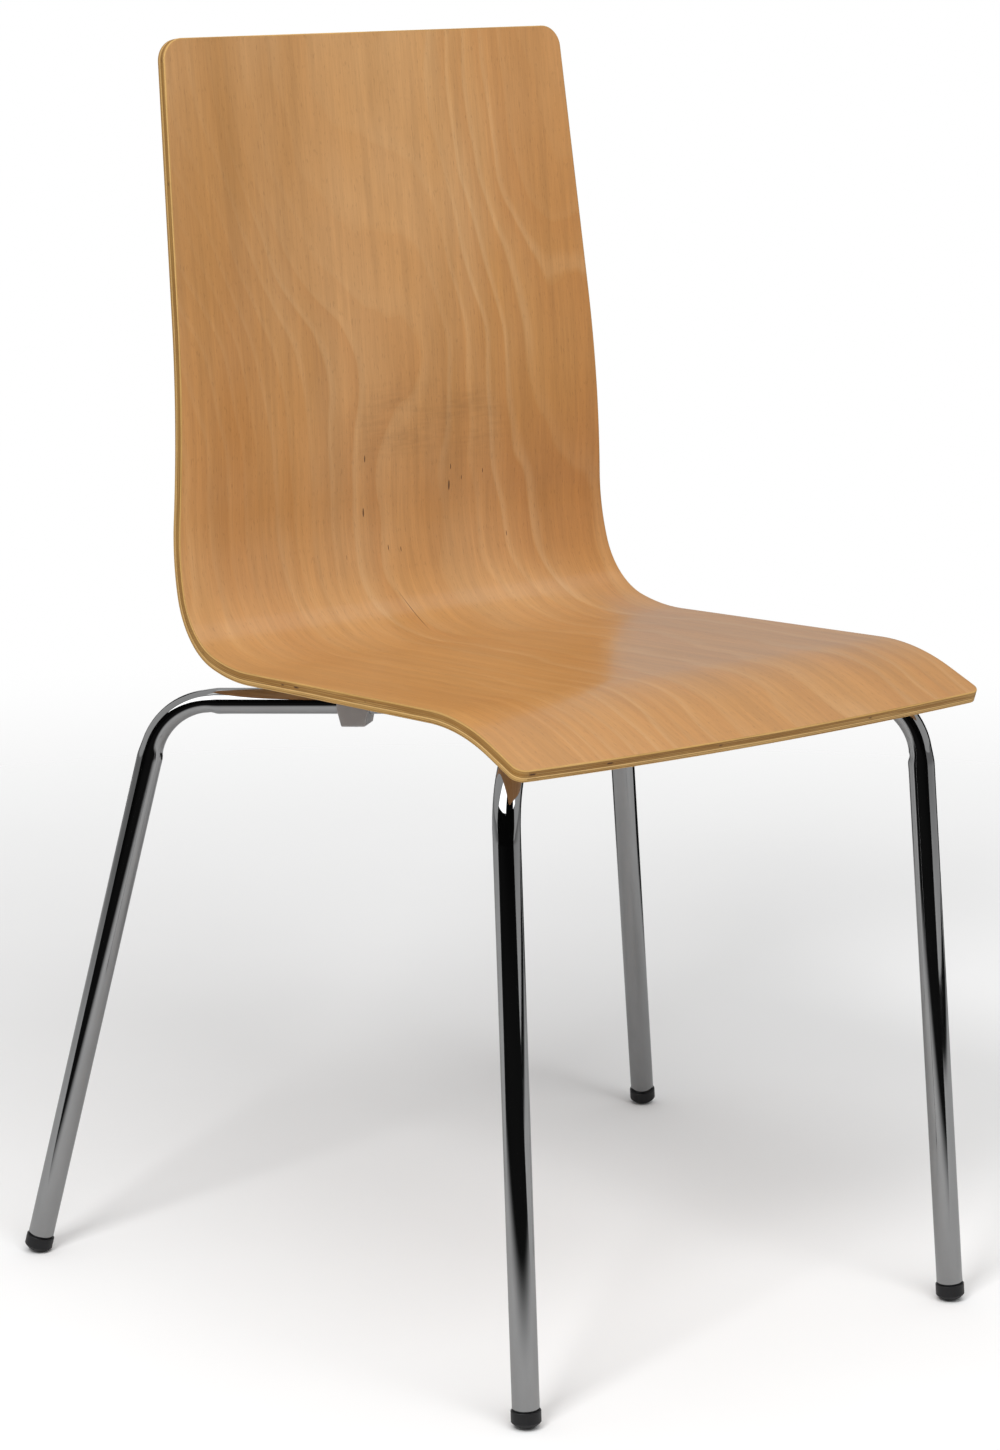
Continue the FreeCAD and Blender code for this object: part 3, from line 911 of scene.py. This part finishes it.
    def build(self) -> bpy.types.Object:
        """Makes the closed sheet: upper face, lower face and the rim between them.

        Returns:
            The piece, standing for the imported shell.
        """
        x, s = self.grid(self.arris)
        rows, columns = x.shape
        count = rows * columns
        loop = self.edge_loop(rows, columns)
        upper = self.place(x, s, np.zeros_like(x)).reshape(-1, 3)
        lower = self.place(x, s, np.full_like(x, self.thickness)).reshape(-1, 3)
        insets, depths = self.rim_section()
        points = [upper, lower]
        numbers = [loop]
        ring_size = len(loop) - 1
        for step, (inset, depth) in enumerate(zip(insets[1:-1], depths[1:-1])):
            ring_x, ring_s = (part.reshape(-1)[loop[:-1]] for part in self.grid(inset))
            points.append(self.place(ring_x, ring_s, np.full(ring_size, depth)))
            ring = 2 * count + step * ring_size + np.arange(ring_size)
            numbers.append(np.append(ring, ring[0]))
        numbers.append(loop + count)
        way = np.diff(upper[loop], axis=0)
        travelled = np.concatenate([[0.0], np.cumsum(np.linalg.norm(way, axis=1))])
        rim_uv = np.stack(np.broadcast_arrays(travelled[None, :], depths[:, None]), axis=-1)
        face_uv = np.stack([x, s], axis=-1)
        under_uv = face_uv + np.array(self.under_shift)
        index = np.arange(count).reshape(rows, columns)
        patches = [
            Patch(index, face_uv),
            Patch(index + count, under_uv, finish=2, turned=True),
            Patch(np.array(numbers), rim_uv, finish=1, turned=True),
        ]
        piece = make_piece("plywood_shell", np.concatenate(points), patches)
        # the lower face takes the deepened tone, a painted shade
        face, under = LacqueredVeneer(), LacqueredVeneer("shaded_under_veneer", depth=self.under_shade)
        dress(piece, face.build(), PlyEdge(self.plies, self.ply).build(), under.build())
        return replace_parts(piece, "seat_shell")


# ---- frame ---------------------------------------------------------------------------
@dataclass
class Run:
    """One straight or curved run of a tube's centre line, with the frame at its start."""

    start: float
    length: float
    point: Array
    ahead: Array
    aside: Array
    axis: Array = field(default_factory=lambda: np.array([0.0, 0.0, 1.0]))
    radius: float = math.inf

    @property
    def is_bend(self) -> bool:
        """Whether it is curved."""
        return math.isfinite(self.radius)

    def inward(self) -> float:
        """Angle round the tube of the bend's inner side, from the aside direction."""
        towards = np.cross(self.axis, self.ahead)
        return math.atan2(towards @ np.cross(self.ahead, self.aside), towards @ self.aside)


def turn(vectors: Array, axis: Array, angle: Array) -> Array:
    """Turns a vector about an axis by many angles: its part along the axis stays, and the
    rest swings as cosine and sine.

    Args:
        vectors: One vector.
        axis: Unit axis.
        angle: The angles.

    Returns:
        One row per angle.
    """
    along = axis * (axis @ vectors)
    rest = vectors - along
    swing = np.cross(axis, vectors)
    return along + np.cos(angle)[:, None] * rest + np.sin(angle)[:, None] * swing


class BentPath:
    """Centre line through corner points, each corner rounded with its own radius."""

    def __init__(self, corners: Array, radii: Sequence[float]) -> None:
        """Splits the line into straight and curved runs.

        Args:
            corners: The ends and the corners between them.
            radii: A radius for each inner corner.
        """
        ways = np.diff(corners, axis=0)
        ways = ways / np.linalg.norm(ways, axis=1)[:, None]
        aside = np.cross(ways[0], np.array([0.0, 0.0, 1.0]))
        aside = aside / np.linalg.norm(aside)
        self.runs: list[Run] = []
        point, travelled = corners[0], 0.0
        for number, radius in enumerate(radii):
            before, after = ways[number], ways[number + 1]
            angle = math.acos(float(np.clip(before @ after, -1, 1)))
            reach = radius * math.tan(angle / 2)
            arc_start = corners[number + 1] - before * reach
            straight = float(np.linalg.norm(arc_start - point))
            self.runs.append(Run(travelled, straight, point, before, aside))
            travelled += straight
            axis = np.cross(before, after)
            axis = axis / np.linalg.norm(axis)
            self.runs.append(
                Run(travelled, radius * angle, arc_start, before, aside, axis, radius)
            )
            travelled += radius * angle
            aside = turn(aside, axis, np.array([angle]))[0]
            point = corners[number + 1] + after * reach
        last = float(np.linalg.norm(corners[-1] - point))
        self.runs.append(Run(travelled, last, point, ways[-1], aside))
        self.length = travelled + last

    @property
    def bends(self) -> list[Run]:
        """The curved runs."""
        return [run for run in self.runs if run.is_bend]

    def at(self, s: Array) -> tuple[Array, Array, Array]:
        """Points on the line with their frames; the frame turns only with the bends.

        Args:
            s: Places along the line.

        Returns:
            Points, directions ahead and directions aside.
        """
        points, aheads, asides = (np.zeros((len(s), 3)) for _ in range(3))
        for run in self.runs:
            here = (s >= run.start - SAME_PLACE) & (s <= run.start + run.length + SAME_PLACE)
            far = s[here] - run.start
            if run.is_bend:
                centre = run.point + run.radius * np.cross(run.axis, run.ahead)
                points[here] = centre + turn(run.point - centre, run.axis, far / run.radius)
                aheads[here] = turn(run.ahead, run.axis, far / run.radius)
                asides[here] = turn(run.aside, run.axis, far / run.radius)
            else:
                points[here] = run.point + far[:, None] * run.ahead
                aheads[here] = run.ahead
                asides[here] = run.aside
        return points, aheads, asides


@dataclass
class TubeFrame:
    """The two chromed side tubes with their welds; each is two legs and a V under the seat."""

    shell: PlywoodShell
    radius: float = 9.0 * MM
    wall: float = 1.5 * MM
    chamfer: float = 0.5 * MM
    front_foot: tuple[float, float] = (185.5 * MM, -230.0 * MM)
    front_shoulder: tuple[float, float] = (175.0 * MM, -190.4 * MM)
    rear_foot: tuple[float, float] = (280.0 * MM, 229.9 * MM)
    rear_shoulder: tuple[float, float] = (201.0 * MM, 172.5 * MM)
    apex: tuple[float, float] = (9.0 * MM, -52.0 * MM)
    shoulder_bend: float = 48.0 * MM
    apex_bend: float = 50.0 * MM
    under_shell: float = 10.5 * MM       # plate and pad between the tube and the shell
    glide_height: float = 12.1 * MM
    seat_fall: float = 3.9
    flattening: float = 0.13             # lost across a bend, in its own plane
    spreading: float = 0.010             # gained square to it
    bend_ramp: float = 12.0 * MM         # length over which a bend takes its section
    crease: float = 0.95 * MM
    crease_length: float = 2.6 * MM
    crease_angle: float = 0.42
    swell: float = 0.35                  # of the crease, on both sides of it
    swell_length: float = 7.0 * MM
    bend_step: float = 3.0 * MM
    straight_step: float = 22.0 * MM
    mouth_reach: float = 14.0            # rings a millimetre apart on each side of a mouth
    girth_count: int = 56
    weld_radius: float = 1.9 * MM
    weld_aside: float = 5.0 * MM
    weld_sink: float = 0.9 * MM
    weld_ripple: float = 1.7 * MM
    weld_ripple_share: float = 0.09
    weld_end_radius: float = 0.05 * MM
    weld_inset: float = 4.0 * MM         # from the plate's edges to the beads' ends
    weld_rings: int = 170
    weld_girth: int = 14
    chrome: bpy.types.Material = field(init=False)
    weld: bpy.types.Material = field(init=False)

    def __post_init__(self) -> None:
        """Makes the finishes that both sides share."""
        self.chrome = Chrome().build()
        self.weld = SatinMetal("plated_weld", (0.45, 0.45, 0.46), 0.16, brushing=600.0).build()

    @property
    def seat_normal(self) -> Array:
        """Square up from the seat's straight stretch."""
        fall = math.radians(self.seat_fall)
        return np.array([0.0, math.sin(fall), math.cos(fall)])

    def centre_height(self, y: float) -> float:
        """Height of the tube's centre plane, which lies under the seat at a fixed depth."""
        start = sum(stretch.length for stretch in self.shell.course[:2])
        seat_y, seat_z, _ = self.shell.follow(np.array([start]))
        fall = math.radians(self.seat_fall)
        depth = self.shell.thickness + self.under_shell + self.radius
        return float(seat_z[0] - (y - seat_y[0]) * math.tan(fall) - depth / math.cos(fall))

    def path(self, side: Side) -> BentPath:
        """Centre line of one side's tube, from the front foot to the rear foot.

        Args:
            side: Which tube.

        Returns:
            The line.
        """
        knees = [
            np.array([side.value * x, y, self.centre_height(y)])
            for x, y in (self.front_shoulder, self.apex, self.rear_shoulder)
        ]
        ends = []
        for (x, y), knee in ((self.front_foot, knees[0]), (self.rear_foot, knees[2])):
            floor = np.array([side.value * x, y, 0.0])
            ends.append(floor + (knee - floor) * (self.glide_height / knee[2]))
        corners = np.array([ends[0], *knees, ends[1]])
        return BentPath(corners, [self.shoulder_bend, self.apex_bend, self.shoulder_bend])

    def stations(self, path: BentPath) -> Array:
        """Places of the rings: far apart on straights, close in bends and at their starts."""
        parts = [np.array([self.chamfer, path.length - self.chamfer])]
        for run in path.runs:
            step = self.bend_step if run.is_bend else self.straight_step
            parts.append(
                np.linspace(run.start, run.start + run.length, max(2, int(run.length / step) + 1))
            )
        for bend in path.bends:
            for mouth in (bend.start, bend.start + bend.length):
                parts.append(mouth + np.arange(-self.mouth_reach, self.mouth_reach + 1.0) * MM)
        s = np.unique(np.round(np.concatenate(parts), 7))
        return s[(s >= self.chamfer - SAME_PLACE) & (s <= path.length - self.chamfer + SAME_PLACE)]

    def ring_radius(self, path: BentPath, s: Array, angle: Array, radius: float) -> Array:
        """Radius round the tube: a circle that each bend flattens in its own plane, with a
        small pinch at the inner side where the bend begins and ends.

        Args:
            path: The centre line.
            s: Places along it.
            angle: Angles round the tube.
            radius: The round tube's radius.

        Returns:
            Radii, places by angles.
        """
        grown = np.full((len(s), len(angle)), radius)
        for bend in path.bends:
            within = np.minimum(s - bend.start, bend.start + bend.length - s)
            share = np.clip(within / self.bend_ramp + 0.5, 0, 1)
            share = (share * share * (3 - 2 * share))[:, None]
            at_shoulder = bend.radius < self.apex_bend
            off = (angle - bend.inward())[None, :]
            lost = radius * share * self.flattening / 2 * (1 + np.cos(2 * off))
            gained = radius * share * self.spreading / 2 * (1 - np.cos(2 * off))
            grown = grown - lost * (1.0 if at_shoulder else 0.5)
            grown = grown + gained * (1.0 if at_shoulder else 0.0)
            nearest = np.angle(np.exp(1j * off))
            for mouth in (bend.start, bend.start + bend.length):
                pinch = np.exp(-((s - mouth) / self.crease_length) ** 2)[:, None]
                swell = np.exp(-((s - mouth) / self.swell_length) ** 2)[:, None]
                round_it = np.exp(-(nearest / self.crease_angle) ** 2)
                sunk = self.crease * pinch - self.swell * self.crease * swell
                grown = grown - sunk * round_it
        return grown

    def make_tube(self, side: Side) -> bpy.types.Object:
        """Sweeps the outer wall along the path, turns in at the ends and comes back inside.

        Args:
            side: Which tube.

        Returns:
            The piece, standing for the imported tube.
        """
        path = self.path(side)
        inner = self.stations(path)
        angle = np.linspace(0, 2 * np.pi, self.girth_count + 1)
        bore = self.radius - self.wall
        there = np.concatenate([[0.0], inner, [path.length]])
        outer_radius = self.ring_radius(path, there, angle[:-1], self.radius)
        outer_radius[[0, -1]] -= self.chamfer
        inner_radius = self.ring_radius(path, there[::-1], angle[:-1], bore)
        s = np.concatenate([there, there[::-1]])
        radii = np.concatenate([outer_radius, inner_radius])
        points, ahead, aside = path.at(s)
        up = np.cross(ahead, aside)
        around = (
            np.cos(angle[:-1])[None, :, None] * aside[:, None, :]
            + np.sin(angle[:-1])[None, :, None] * up[:, None, :]
        )
        surface = points[:, None, :] + radii[:, :, None] * around
        rings = len(s)
        index = np.arange(rings * self.girth_count).reshape(rings, self.girth_count)
        index = np.concatenate([index, index[:, :1]], axis=1)
        index = np.concatenate([index, index[:1]], axis=0)
        reach = np.concatenate([s, s[:1]])
        uv = np.stack(np.broadcast_arrays(angle[None, :] * self.radius, reach[:, None]), axis=-1)
        piece = make_piece(
            f"bent_tube_{side.name.lower()}", surface.reshape(-1, 3), [Patch(index, uv)]
        )
        dress(piece, self.chrome)
        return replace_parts(piece, f"side_tube_{side.name.lower()}")

    def make_welds(self, side: Side) -> bpy.types.Object:
        """Lays a rippled bead along each side of the line where the tube meets the plate.

        Args:
            side: Which tube.

        Returns:
            The piece.
        """
        path = self.path(side)
        low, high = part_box("mounting_plate")
        s = np.linspace(path.bends[1].start, path.bends[1].start + path.bends[1].length, 400)
        middle, _, _ = path.at(s)
        first, last = low.y + self.weld_inset, high.y - self.weld_inset
        covered = (middle[:, 1] > first) & (middle[:, 1] < last)
        s = np.linspace(s[covered].min(), s[covered].max(), self.weld_rings)
        middle, ahead, _ = path.at(s)
        normal = np.broadcast_to(self.seat_normal, middle.shape)
        beside = np.cross(normal, ahead)
        share = np.linspace(-1, 1, len(s))
        size = self.weld_radius * (1 - share ** 10) ** 0.5
        ripple = self.weld_ripple_share * np.sin(2 * np.pi * s / self.weld_ripple)
        size = size * (1 + ripple) + self.weld_end_radius
        angle = np.linspace(0, 2 * np.pi, self.weld_girth + 1)[:-1]
        points, patches, caps = [], [], []
        for hand in (-1, 1):
            centre = middle + normal * (
                self.radius - self.weld_sink
            ) + beside * (hand * self.weld_aside)
            around = (
                np.cos(angle)[None, :, None] * beside[:, None, :]
                + np.sin(angle)[None, :, None] * normal[:, None, :]
            )
            bead = centre[:, None, :] + size[:, None, None] * around
            start = len(points) * bead.shape[0] * bead.shape[1]
            index = start + np.arange(bead.shape[0] * bead.shape[1]).reshape(bead.shape[:2])
            caps.append(index[0, ::-1].tolist())
            caps.append(index[-1].tolist())
            index = np.concatenate([index, index[:, :1]], axis=1)
            uv = np.zeros((*index.shape, 2))
            patches.append(Patch(index, uv))
            points.append(bead.reshape(-1, 3))
        piece = make_piece(
            f"weld_beads_{side.name.lower()}", np.concatenate(points), patches, caps
        )
        dress(piece, self.weld)
        return piece

    def build(self) -> list[bpy.types.Object]:
        """Makes both tubes and their welds.

        Returns:
            The pieces.
        """
        made = [self.make_tube(side) for side in Side]
        return made + [self.make_welds(side) for side in Side]


# ---- fittings --------------------------------------------------------------------------
@dataclass
class Fittings:
    """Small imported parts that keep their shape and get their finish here."""

    spacer: MouldedPlastic = MouldedPlastic(
        "grey_spacer_plastic", (0.36, 0.35, 0.345), (0.30, 0.30, 0.30), 0.42
    )
    glide: MouldedPlastic = MouldedPlastic(
        "black_glide_plastic", (
            0.010, 0.010, 0.011
        ), (0.075, 0.070, 0.065), 0.30, worn_below=1.0 * MM
    )
    pad: MouldedPlastic = MouldedPlastic(
        "black_pad_foam", (0.016, 0.016, 0.017), (0.05, 0.05, 0.05), 0.72
    )
    plate: SatinMetal = SatinMetal("plated_plate", (0.50, 0.50, 0.51), 0.10, brushing=900.0)
    zinc: SatinMetal = SatinMetal("bright_zinc", (0.55, 0.56, 0.58), 0.26)

    def build(self) -> list[bpy.types.Object]:
        """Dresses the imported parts.

        Returns:
            The dressed parts.
        """
        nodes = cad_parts
        both = [(end.value, side.name.lower()) for end in End for side in Side]
        plan = (
            (self.spacer, [f"spacer_{end}_{side}" for end, side in both]),
            (self.glide, [f"foot_glide_{end}_{side}" for end, side in both]),
            (self.pad, ["shell_pad"]),
            (self.plate, ["mounting_plate"]),
            (self.zinc, ["shell_screws", "screw_washers", "shell_inserts"]),
        )
        made = []
        for finish, names in plan:
            material = finish.build()
            for name in names:
                dress(nodes[name], material)
                made.append(nodes[name])
        return made


# ---- studio ----------------------------------------------------------------------------
@dataclass
class Viewpoint:
    """The camera, turned from looking along plus Y."""

    place: Vector = Vector(CAMERA_PLACE)
    azimuth: float = -36.695
    elevation: float = 13.120
    roll: float = 0.120
    focal: float = 3808.91
    centre: tuple[float, float] = (497.454, 722.782)
    picture: tuple[int, int] = (1000, 1450)
    sensor: float = 36.0

    def build(self) -> bpy.types.Object:
        """Makes the camera and hands it to the scene.

        Returns:
            The camera.
        """
        turn_z, lift = math.radians(self.azimuth), math.radians(self.elevation)
        ahead = Vector((
            -math.sin(turn_z) * math.cos(lift), math.cos(turn_z) * math.cos(lift), -math.sin(lift)
        ))
        level = ahead.cross(Vector((0, 0, 1))).normalized()
        above = level.cross(ahead)
        tilt = math.radians(self.roll)
        right = level * math.cos(tilt) + above * math.sin(tilt)
        upright = above * math.cos(tilt) - level * math.sin(tilt)
        data = bpy.data.cameras.new("viewpoint")
        data.sensor_width = self.sensor
        data.lens = self.focal / max(self.picture) * self.sensor
        data.shift_x = (self.picture[0] / 2 - self.centre[0]) / max(self.picture)
        data.shift_y = (self.centre[1] - self.picture[1] / 2) / max(self.picture)
        data.clip_end = 200.0
        camera = bpy.data.objects.new("viewpoint", data)
        turned = Matrix((right, upright, -ahead)).transposed().to_4x4()
        camera.matrix_world = Matrix.Translation(self.place) @ turned
        bpy.context.scene.collection.objects.link(camera)
        bpy.context.scene.camera = camera
        return camera


@dataclass(frozen=True)
class Softbox:
    """A soft lamp that faces the chair."""

    name: str
    azimuth: float       # from the camera's side, anticlockwise from above
    elevation: float
    distance: float
    size: tuple[float, float]
    power: float
    aim: float = 0.45
    mirrored: bool = False

    def build(self, facing: float) -> None:
        """Hangs the lamp.

        Args:
            facing: Azimuth of the camera's side, from plus X.
        """
        data = bpy.data.lights.new(self.name, "AREA")
        data.shape = "RECTANGLE"
        data.size, data.size_y = self.size
        data.energy = self.power
        lamp = bpy.data.objects.new(self.name, data)
        bearing = facing + math.radians(self.azimuth)
        lift = math.radians(self.elevation)
        back = Vector((
            math.cos(bearing) * math.cos(lift), math.sin(bearing) * math.cos(lift), math.sin(lift)
        ))
        lamp.location = Vector((0, 0, self.aim)) + back * self.distance
        lamp.rotation_euler = (-back).to_track_quat("-Z", "Y").to_euler()
        lamp.visible_camera = False
        lamp.visible_glossy = self.mirrored
        bpy.context.scene.collection.objects.link(lamp)


@dataclass(frozen=True)
class MirrorCard:
    """An upright card that only mirrors see, a painted reflection: dark, or glowing like a softbox
    though it is no lamp.
    """

    name: str
    start: float         # azimuth from the camera's side, in degrees
    end: float
    low: float
    high: float
    distance: float = 5.0
    tone: float = 0.006
    glow: float = 0.0


@dataclass(frozen=True)
class DarkFloor:
    """A sector of the mirrored floor that darkens with distance from the chair: a painted dark
    reflection.
    """

    name: str
    start: float         # azimuth from the camera's side, in degrees
    end: float
    near: float          # where it begins to darken, from the chair's middle
    full: float          # and where it is fully dark
    far: float = 6.0


@dataclass
class Studio:
    """Pale floor, soft lamps, an even pale surround, and the cards and floors that only the chrome
    mirrors, as painted reflections.
    """

    facing: float = math.atan2(CAMERA_PLACE[1], CAMERA_PLACE[0])
    backdrop: float = 1.0
    surround: float = 0.42
    floor_tone: float = 0.90
    floor_reach: float = 9.0
    floor_fade: tuple[float, float] = (0.6, 2.1)
    mirror_floor_reach: float = 60.0
    mirror_floor_height: float = 0.3 * MM
    dark_floor_height: float = 0.6 * MM
    dark_floor_gap: float = 0.1 * MM     # between one dark sector's height and the next
    mirror_floor_tone: float = 0.44
    dark_tone: float = 0.006
    dark_floors: tuple[DarkFloor, ...] = (
        DarkFloor("dark_floor_front", -70.0, 52.0, 0.44, 0.90),
        DarkFloor("dark_floor_right", 50.0, 118.0, 1.10, 1.35, 1.80),
        DarkFloor("dark_floor_back_right", 126.0, 161.0, 0.65, 0.95),
        DarkFloor("dark_floor_back_left", 197.0, 212.0, 0.65, 0.95),
    )
    lamps: tuple[Softbox, ...] = (
        Softbox("softbox_right", 24.0, 50.0, 3.4, (2.4, 2.4), 62.0),
        Softbox("softbox_left", -26.0, 44.0, 3.4, (1.0, 0.7), 54.0),
        Softbox("softbox_top", 160.0, 80.0, 3.2, (3.6, 3.6), 22.0, mirrored=True),
    )
    # painted reflections: dark flags and glowing cards that only mirrors see
    cards: tuple[MirrorCard, ...] = (
        MirrorCard("flag_front", -70.0, 52.0, -0.2, 5.4),
        MirrorCard("flag_back_right", 126.0, 161.0, -0.2, 3.0),
        MirrorCard("flag_back_left", 197.0, 212.0, -0.2, 3.0),
        MirrorCard("glow_left", -66.0, -13.0, 1.7, 5.0, distance=3.4, glow=2.4),
        MirrorCard("glow_right", 41.0, 57.0, 1.8, 2.5, distance=3.4, glow=2.4),
    )

    def plain(
        self, name: str, tone: float, fade: Optional[tuple[float, float]] = None,
        glow: float = 0.0, faint_near: bool = False,
    ) -> bpy.types.Material:
        """A matt pale or dark paper, which may glow, or fade out with distance from the middle.

        Args:
            name: The material's name.
            tone: Its lightness.
            fade: Distances where it starts and ends fading.
            glow: How brightly it shines.
            faint_near: Whether it fades towards the middle instead of away from it.

        Returns:
            The material.
        """
        bench = Bench(name)
        x, y, _ = bench.place("Object")
        grain = bench.noise(bench.stretched(x, y, 3.0, 3.0), 3.0)
        shade = bench.span(grain, 0.3, 0.7, tone * 0.985, tone)
        colour = bench.vector(shade, shade, shade)
        bench.finish(colour, 0.85, Specular_IOR_Level=0.0, Emission_Strength=glow)
        if fade:
            squares = bench.math("POWER", x, 2.0), bench.math("POWER", y, 2.0)
            far = bench.math("SQRT", bench.math("ADD", *squares))
            there = bench.span(far, fade[0], fade[1])
            bench.feed(
                bench.shader.inputs["Alpha"], there if faint_near else bench.math(
                    "SUBTRACT", 1.0, there
                )
            )
        return bench.material

    def sheet(self, name: str, points: Array, material: bpy.types.Material) -> bpy.types.Object:
        """Makes a stage sheet from a grid of points.

        Args:
            name: Its name.
            points: Rows by columns by X, Y, Z.
            material: Its paper.

        Returns:
            The stage object.
        """
        rows, columns = points.shape[:2]
        patch = Patch(
            np.arange(rows * columns).reshape(rows, columns), np.zeros((rows, columns, 2))
        )
        mesh = bpy.data.meshes.new(name)
        mesh.from_pydata(points.reshape(-1, 3).tolist(), [], patch.corners().tolist())
        made = bpy.data.objects.new(name, mesh)
        bpy.context.scene.collection.objects.link(made)
        mesh.materials.append(material)
        return made

    def for_mirrors_only(self, thing: bpy.types.Object) -> None:
        """Hides a card from everything but reflections."""
        thing.visible_camera = False
        thing.visible_diffuse = False
        thing.visible_shadow = False
        thing.visible_transmission = False
        thing.visible_volume_scatter = False

    def disc(self, radius: float, height: float) -> Array:
        """Points of a flat disc round the chair: angle by distance from the middle."""
        angle = self.facing + np.linspace(0.0, 2 * np.pi, 73)[None, :]
        far = np.linspace(0.0, radius, 9)[:, None]
        x, y = far * np.cos(angle), far * np.sin(angle)
        return np.stack([x, y, np.full_like(x, height)], axis=-1)[::-1]

    def build_floor(self) -> None:
        """Lays the floor, and the darker floor that only the chrome mirrors, a painted reflection,
        dark beyond the set's edge.
        """
        floor = self.sheet(
            "floor", self.disc(self.floor_reach, 0.0),
            self.plain("pale_floor", self.floor_tone, self.floor_fade),
        )
        floor.visible_glossy = False
        seen = self.sheet(
            "mirror_floor", self.disc(self.mirror_floor_reach, self.mirror_floor_height),
            self.plain("mirror_floor", self.mirror_floor_tone),
        )
        self.for_mirrors_only(seen)
        for number, dark in enumerate(self.dark_floors):
            bearing = self.facing + np.radians(np.linspace(dark.start, dark.end, 41))[None, :]
            far = np.linspace(dark.near, dark.far, 5)[:, None]
            x, y = far * np.cos(bearing), far * np.sin(bearing)
            height = self.dark_floor_height + self.dark_floor_gap * number
            points = np.stack([x, y, np.full_like(x, height)], axis=-1)
            paper = self.plain(dark.name, self.dark_tone, (dark.near, dark.full), faint_near=True)
            self.for_mirrors_only(self.sheet(dark.name, points[::-1], paper))

    def build_cards(self) -> None:
        """Stands the cards up, each a piece of a cylinder wall round the chair."""
        for card in self.cards:
            bearing = self.facing + np.radians(np.linspace(card.start, card.end, 25))[None, :]
            height = np.linspace(card.low, card.high, 3)[:, None]
            x = card.distance * np.cos(bearing) + 0 * height
            y = card.distance * np.sin(bearing) + 0 * height
            points = np.stack([x, y, height + 0 * x], axis=-1)
            paper = self.plain(card.name, card.tone, glow=card.glow)
            self.for_mirrors_only(self.sheet(card.name, points, paper))

    def build_surround(self) -> None:
        """Sets the even surround: grey for lighting, paler where the backdrop itself shows."""
        world = bpy.data.worlds.new("surround")
        world.use_nodes = True
        tree = world.node_tree
        background = tree.nodes["Background"]
        ray = tree.nodes.new("ShaderNodeLightPath")
        level = tree.nodes.new("ShaderNodeMapRange")
        level.inputs[3].default_value = self.surround
        level.inputs[4].default_value = self.backdrop
        tree.links.new(ray.outputs["Is Camera Ray"], level.inputs[0])
        tree.links.new(level.outputs[0], background.inputs["Strength"])
        background.inputs["Color"].default_value = (1.0, 1.0, 1.0, 1.0)
        bpy.context.scene.world = world

    def build(self) -> None:
        """Sets up the whole studio."""
        self.build_floor()
        self.build_cards()
        self.build_surround()
        for lamp in self.lamps:
            lamp.build(self.facing)
        bpy.context.scene.view_settings.view_transform = "Standard"


def main() -> None:
    """Builds the chair piece by piece, then its studio."""
    logging.basicConfig(level=logging.INFO, format="%(name)s: %(message)s")
    Viewpoint().build()
    shell = PlywoodShell()
    pieces = [shell.build()]
    pieces += TubeFrame(shell).build()
    pieces += Fittings().build()
    for piece in pieces:
        log.info("%s: %d faces", piece.name, len(piece.data.polygons))
    Studio().build()


if __name__ == "__main__":
    main()
